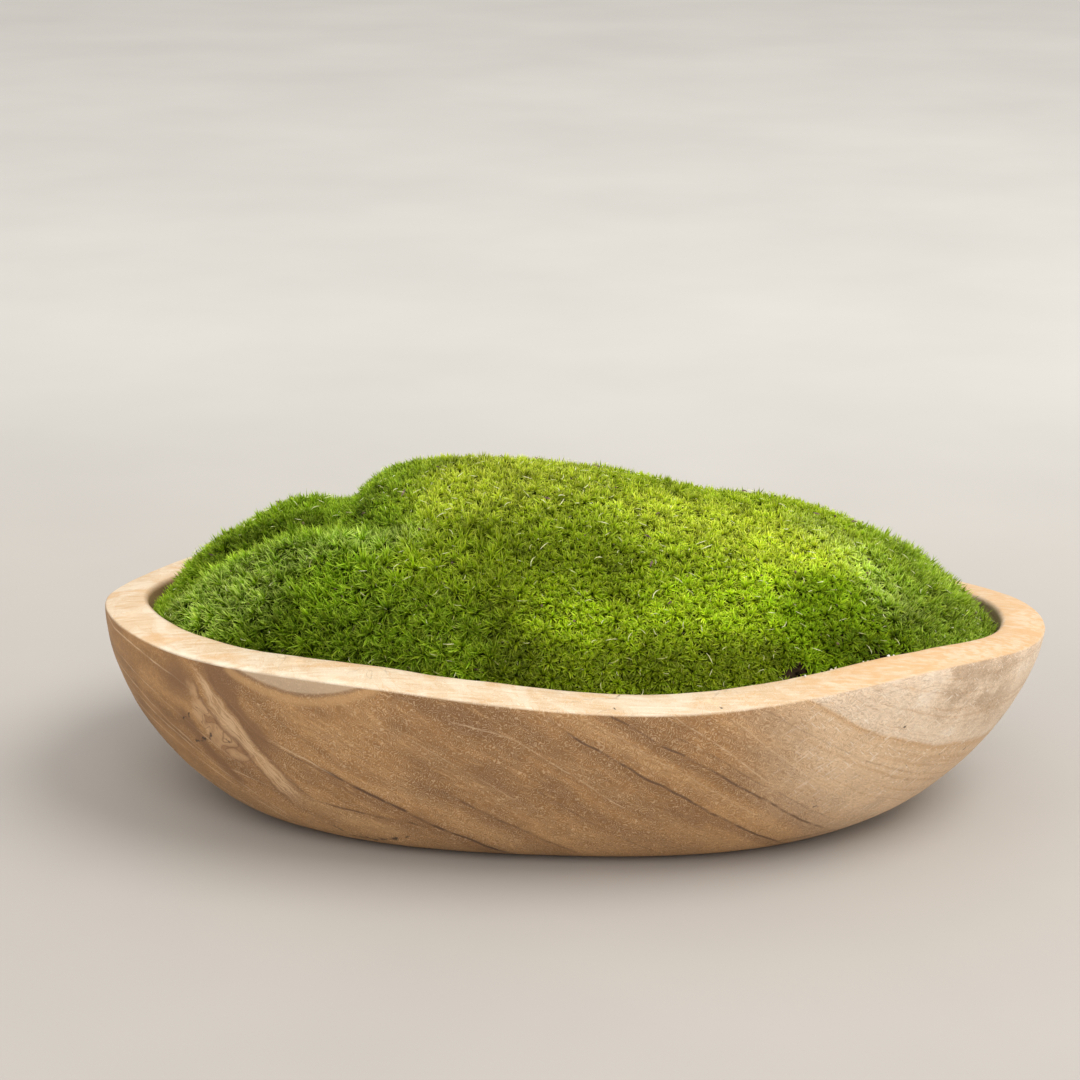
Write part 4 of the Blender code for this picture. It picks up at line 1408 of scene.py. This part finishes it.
def make_crumb(seed, name, radius):
    """A crumb: a lump with an uneven surface."""
    draw = random.Random(seed)
    bm = bmesh.new()
    bmesh.ops.create_icosphere(bm, subdivisions=1, radius=radius)
    stretch = Vector([draw.uniform(0.65, 1.35) for _ in range(3)])
    for vertex in bm.verts:
        vertex.co = vertex.co * stretch * draw.uniform(0.75, 1.2)
    return bpy.data.objects.new(name, mesh_from(bm, name))


def whole_skin():
    """The skins of all cushions as one mesh."""
    joined = bmesh.new()
    for name in GROWTH:
        part = mesh_from(moss_skin(name), "part")
        joined.from_mesh(part)
        bpy.data.meshes.remove(part)
    mesh = rounded(joined, "whole_skin", 1)
    joined.free()
    return mesh


def make_litter(look):
    """Dry strands, bits of bark and crumbs of soil strewn over the moss, and grit on the rim."""
    tree = moss_tree()
    pale = litter_material("dry strands", (0.42, 0.44, 0.13), (0.80, 0.79, 0.48))
    bark = litter_material("bark bits", (0.060, 0.035, 0.030), (0.230, 0.140, 0.120))
    crumb = litter_material("soil crumbs", (0.050, 0.032, 0.020), (0.200, 0.130, 0.080))
    kinds = (
        ("litter_dry_strands", make_strand, (0.0032, 0.00029), 0.0050, 1.00, pale, "moss"),
        ("litter_bark_bits", make_strand, (0.0026, 0.00075), 0.0140, 0.60, bark, "moss"),
        ("litter_crumbs", make_crumb, (0.00038,), 0.0110, 0.60, crumb, "soil"),
    )
    for place, (name, make, sizes, spacing, abundance, material, slot) in enumerate(kinds):
        box = bpy.data.collections.new(name + "_kinds")
        for kind in range(TUFT_KINDS):
            box.objects.link(make(kind + 1, f"{name}_{kind}", *sizes))
        values = {
            "Tufts": box,
            "Spacing": spacing * look.litter_spacing,
            "Lean": (0.0, 0.0, 0.5),
            "Least Size": 0.5,
            "Most Size": 1.5,
            "Root Depth": -LITTER_HEIGHT,
            "Uneven": LITTER_UNEVEN,
            "Abundance": abundance,
            "Seed": look.seed + LITTER_SEED + place,
            "Moss": material,
        }
        dress(run_tree(whole_skin(), tree, values, name), slot)
    make_rim_grit()


def make_rim_grit():
    """Pale grit on the inner edge of the rim, at the front's right."""
    bowl = bpy.data.objects["carved_bowl"].data
    surface = BVHTree.FromPolygons([vertex.co for vertex in bowl.vertices],
                                   [tuple(face.vertices) for face in bowl.polygons])
    draw = random.Random(GRIT_SEED)
    joined = bmesh.new()
    start, end = (Vector(place) for place in GRIT_RUN)
    for i in range(GRIT_COUNT):
        place = start.lerp(end, draw.random())
        place += Vector((draw.gauss(0, 1), draw.gauss(0, 1), 0)) * GRIT_STRAY
        hit = surface.ray_cast(Vector((place.x, place.y, 0.2)), Vector((0.0, 0.0, -1.0)))[0]
        if hit is None or hit.z < GRIT_LEAST_HEIGHT:
            continue
        radius = draw.uniform(*GRIT_RADII)
        crumb = make_crumb(i, "grit", radius)
        crumb.data.transform(Matrix.Translation(hit + Vector((0.0, 0.0, radius * 0.5))))
        joined.from_mesh(crumb.data)
        bpy.data.objects.remove(crumb)
    mesh = mesh_from(joined, "litter_rim_grit")
    mesh.materials.append(litter_material("pale grit", (0.62, 0.54, 0.44), (0.90, 0.87, 0.82)))
    dress(add_piece("litter_rim_grit", mesh), "soil")


# Stage
def stage_material(name, colour):
    """A matt surface, a little cloudy, with painted light that makes it lighter far off."""
    material, net, shader, where = new_material(name, colour)
    cloud = net.noise(where, 3.0, 4.0, 0.55)
    # Painted light: lighter towards the back
    far = net.remap(net.split(where)[1], 0.0, 0.9)
    tone = net.mix(far, tuple(colour), (0.545, 0.525, 0.490))
    light = net.evenly(cloud, 0.95, 1.04)
    tone = net.step("ShaderNodeHueSaturation", {"Color": tone, "Value": light})
    finish(net, shader, tone, 0.8)
    return material


def make_stage(look):
    """A pale floor, soft lights and the camera."""
    corners = ((-1, -1), (1, -1), (1, 1), (-1, 1))
    verts = [(x * FLOOR_HALF, y * FLOOR_HALF, 0.0) for x, y in corners]
    mesh = bpy.data.meshes.new("stage_floor")
    mesh.from_pydata(verts, [], [(0, 1, 2, 3)])
    mesh.materials.append(stage_material("pale floor", look.floor_colour))
    add_piece("stage_floor", mesh)
    for name, place, size in LIGHTS:
        add_light(name, place, size, getattr(look, name + "_power"))
    world = bpy.data.worlds.new("soft room")
    world.use_nodes = True
    net = Net(world.node_tree)
    upward = net.split(net.add("ShaderNodeTexCoord").outputs["Generated"])[2]
    sky = world.node_tree.nodes["Background"].inputs
    net.put(sky["Color"], (1.0, 0.985, 0.96))
    share = net.remap(upward, 0.0, 0.55, 0.60, 1.10)
    net.put(sky["Strength"], net.times(share, look.room_light))
    bpy.context.scene.world = world
    bpy.context.scene.view_settings.view_transform = "Standard"
    set_camera()


def add_light(name, place, size, power):
    """A round light aimed at the bowl."""
    light = bpy.data.lights.new(name, "AREA")
    light.shape = "DISK"
    light.size = size
    light.energy = power
    lamp = bpy.data.objects.new(name, light)
    lamp.location = place
    aim = Vector(LIGHT_AIM) - Vector(place)
    lamp.rotation_euler = aim.to_track_quat("-Z", "Y").to_euler()
    bpy.context.scene.collection.objects.link(lamp)


def set_camera():
    """The photograph's camera, aimed at the bowl from the front and a little above."""
    high, turn = math.radians(CAMERA_HEIGHT), math.radians(CAMERA_TURN)
    back = Vector((math.sin(turn) * math.cos(high), -math.cos(turn) * math.cos(high),
                   math.sin(high)))
    right = Vector((math.cos(turn), math.sin(turn), 0.0))
    up = right.cross(-back).normalized()
    aim = Vector(CAMERA_AIM) + right * CAMERA_SLIDE[0] + up * CAMERA_SLIDE[1]
    camera = bpy.data.objects.new("camera", bpy.data.cameras.new("camera"))
    camera.data.lens = CAMERA_LENS
    camera.data.sensor_width = CAMERA_SENSOR
    camera.matrix_world = Matrix.Translation(aim + back * CAMERA_DISTANCE) @ Matrix(
        (right, up, back)).transposed().to_4x4()
    bpy.context.scene.collection.objects.link(camera)
    bpy.context.scene.camera = camera


# Settings that a user would change
def number_setting(label, note, default, **limits):
    """A number."""
    return bpy.props.FloatProperty(name=label, description=note, default=default, **limits)


def length_setting(label, note, default):
    """A length in metres."""
    return number_setting(label, note, default, min=0.0, unit="LENGTH", subtype="DISTANCE",
                          precision=5)


def colour_setting(label, note, default):
    """A colour."""
    return bpy.props.FloatVectorProperty(name=label, description=note, default=default, size=3,
                                         min=0.0, max=1.0, subtype="COLOR")


class BowlSettings(bpy.types.PropertyGroup):
    """Sizes of the bowl and colours of its wood"""

    half_length: length_setting("Half length", "From the middle to the tip of the rim", 0.200)
    half_width: length_setting("Half width", "From the middle to the side of the rim", 0.121)
    rim_height: length_setting("Rim height", "Mean height of the rim", 0.078)
    wall_thickness: length_setting("Wall thickness", "Thickness of the wall at the rim", 0.0185)
    carving_depth: length_setting("Carving depth", "Unevenness that the carver left", 0.00035)
    heartwood: colour_setting("Heartwood", "Brown wood of the wall", (0.482, 0.254, 0.095))
    figure: colour_setting("Figure", "Light bands of the heartwood", (0.618, 0.364, 0.162))
    grain: colour_setting("Grain", "Dark bands of the heartwood", (0.254, 0.128, 0.050))
    dark_line: colour_setting("Dark lines", "Dark grain lines", (0.120, 0.062, 0.034))
    light_line: colour_setting("Light lines", "Light grain lines", (0.780, 0.560, 0.350))
    tan: colour_setting("Tan", "Young wood between the heartwood and the sapwood",
                        (0.820, 0.590, 0.375))
    sapwood: colour_setting("Sapwood", "Pale wood of the right end", (0.900, 0.725, 0.540))
    rim: colour_setting("Rim", "Sanded wood of the rim", (0.622, 0.450, 0.278))
    rim_light: colour_setting("Rim figure", "Pale figure of the rim", (0.696, 0.560, 0.400))


class MossSettings(bpy.types.PropertyGroup):
    """Growth of the moss and its litter"""

    blade_width: number_setting(
        "Blade width", "Width of the blades, as a share of each cushion's own", 1.0, min=0.2)
    spacing: number_setting(
        "Spacing", "Spacing of tufts, as a share of each cushion's own", 1.0, min=0.8, max=3.0)
    litter_spacing: number_setting(
        "Litter spacing", "Spacing of the litter, as a share of each kind's own", 1.0,
        min=0.5, max=5.0)
    seed: bpy.props.IntProperty(name="Seed", description="Start of the random draws", default=4)


class StageSettings(bpy.types.PropertyGroup):
    """Floor and lights"""

    floor_colour: colour_setting("Floor", "Colour of the floor", (0.424, 0.394, 0.360))
    key_power: number_setting(
        "Key light", "Power of the main light", 105.0, min=0.0, unit="POWER")
    fill_power: number_setting(
        "Fill light", "Power of the front light", 34.0, min=0.0, unit="POWER")
    room_light: number_setting("Room light", "Light from all round", 0.88, min=0.0)


SETTINGS = {
    "moss_bowl_wood": BowlSettings,
    "moss_bowl_moss": MossSettings,
    "moss_bowl_stage": StageSettings,
}


class MOSSBOWL_OT_bowl(bpy.types.Operator):
    """Carve the wooden bowl"""
    bl_idname = "moss_bowl.bowl"
    bl_label = "Carve Bowl"

    def execute(self, context):
        make_bowl(context.scene.moss_bowl_wood)
        return {"FINISHED"}


class MOSSBOWL_OT_soil(bpy.types.Operator):
    """Fill the bowl with soil"""
    bl_idname = "moss_bowl.soil"
    bl_label = "Fill With Soil"

    def execute(self, context):
        make_soil()
        return {"FINISHED"}


class MOSSBOWL_OT_beds(bpy.types.Operator):
    """Lay the mat of each moss cushion"""
    bl_idname = "moss_bowl.beds"
    bl_label = "Lay Moss Mats"

    def execute(self, context):
        make_beds()
        return {"FINISHED"}


class MOSSBOWL_OT_moss(bpy.types.Operator):
    """Grow the shoots of each moss cushion"""
    bl_idname = "moss_bowl.moss"
    bl_label = "Grow Moss"

    def execute(self, context):
        make_moss(context.scene.moss_bowl_moss)
        return {"FINISHED"}


class MOSSBOWL_OT_litter(bpy.types.Operator):
    """Strew dry strands, bark and crumbs over the moss and grit on the rim"""
    bl_idname = "moss_bowl.litter"
    bl_label = "Strew Litter"

    def execute(self, context):
        make_litter(context.scene.moss_bowl_moss)
        return {"FINISHED"}


class MOSSBOWL_OT_stage(bpy.types.Operator):
    """Set up the floor, the lights and the camera"""
    bl_idname = "moss_bowl.stage"
    bl_label = "Set Stage"

    def execute(self, context):
        make_stage(context.scene.moss_bowl_stage)
        return {"FINISHED"}


OPERATORS = (MOSSBOWL_OT_bowl, MOSSBOWL_OT_soil, MOSSBOWL_OT_beds, MOSSBOWL_OT_moss,
             MOSSBOWL_OT_litter, MOSSBOWL_OT_stage)


class MOSSBOWL_PT_panel(bpy.types.Panel):
    """The settings and the steps, in order"""
    bl_label = "Moss Bowl Garden"
    bl_space_type = "VIEW_3D"
    bl_region_type = "UI"
    bl_category = "Moss Bowl"

    def draw(self, context):
        for name, group in SETTINGS.items():
            column = self.layout.column(align=True)
            for prop in group.__annotations__:
                column.prop(getattr(context.scene, name), prop)
        for operator in OPERATORS:
            self.layout.operator(operator.bl_idname)


CLASSES = (*SETTINGS.values(), *OPERATORS, MOSSBOWL_PT_panel)


def register():
    """Make the settings, the steps and the panel known."""
    for cls in CLASSES:
        bpy.utils.register_class(cls)
    for name, group in SETTINGS.items():
        setattr(bpy.types.Scene, name, bpy.props.PointerProperty(type=group))


def unregister():
    """Take the settings, the steps and the panel away."""
    for name in SETTINGS:
        delattr(bpy.types.Scene, name)
    for cls in reversed(CLASSES):
        bpy.utils.unregister_class(cls)


def main():
    """Make every piece in order."""
    register()
    for operator in OPERATORS:
        group, name = operator.bl_idname.split(".")
        getattr(getattr(bpy.ops, group), name)()


if __name__ == "__main__":
    main()
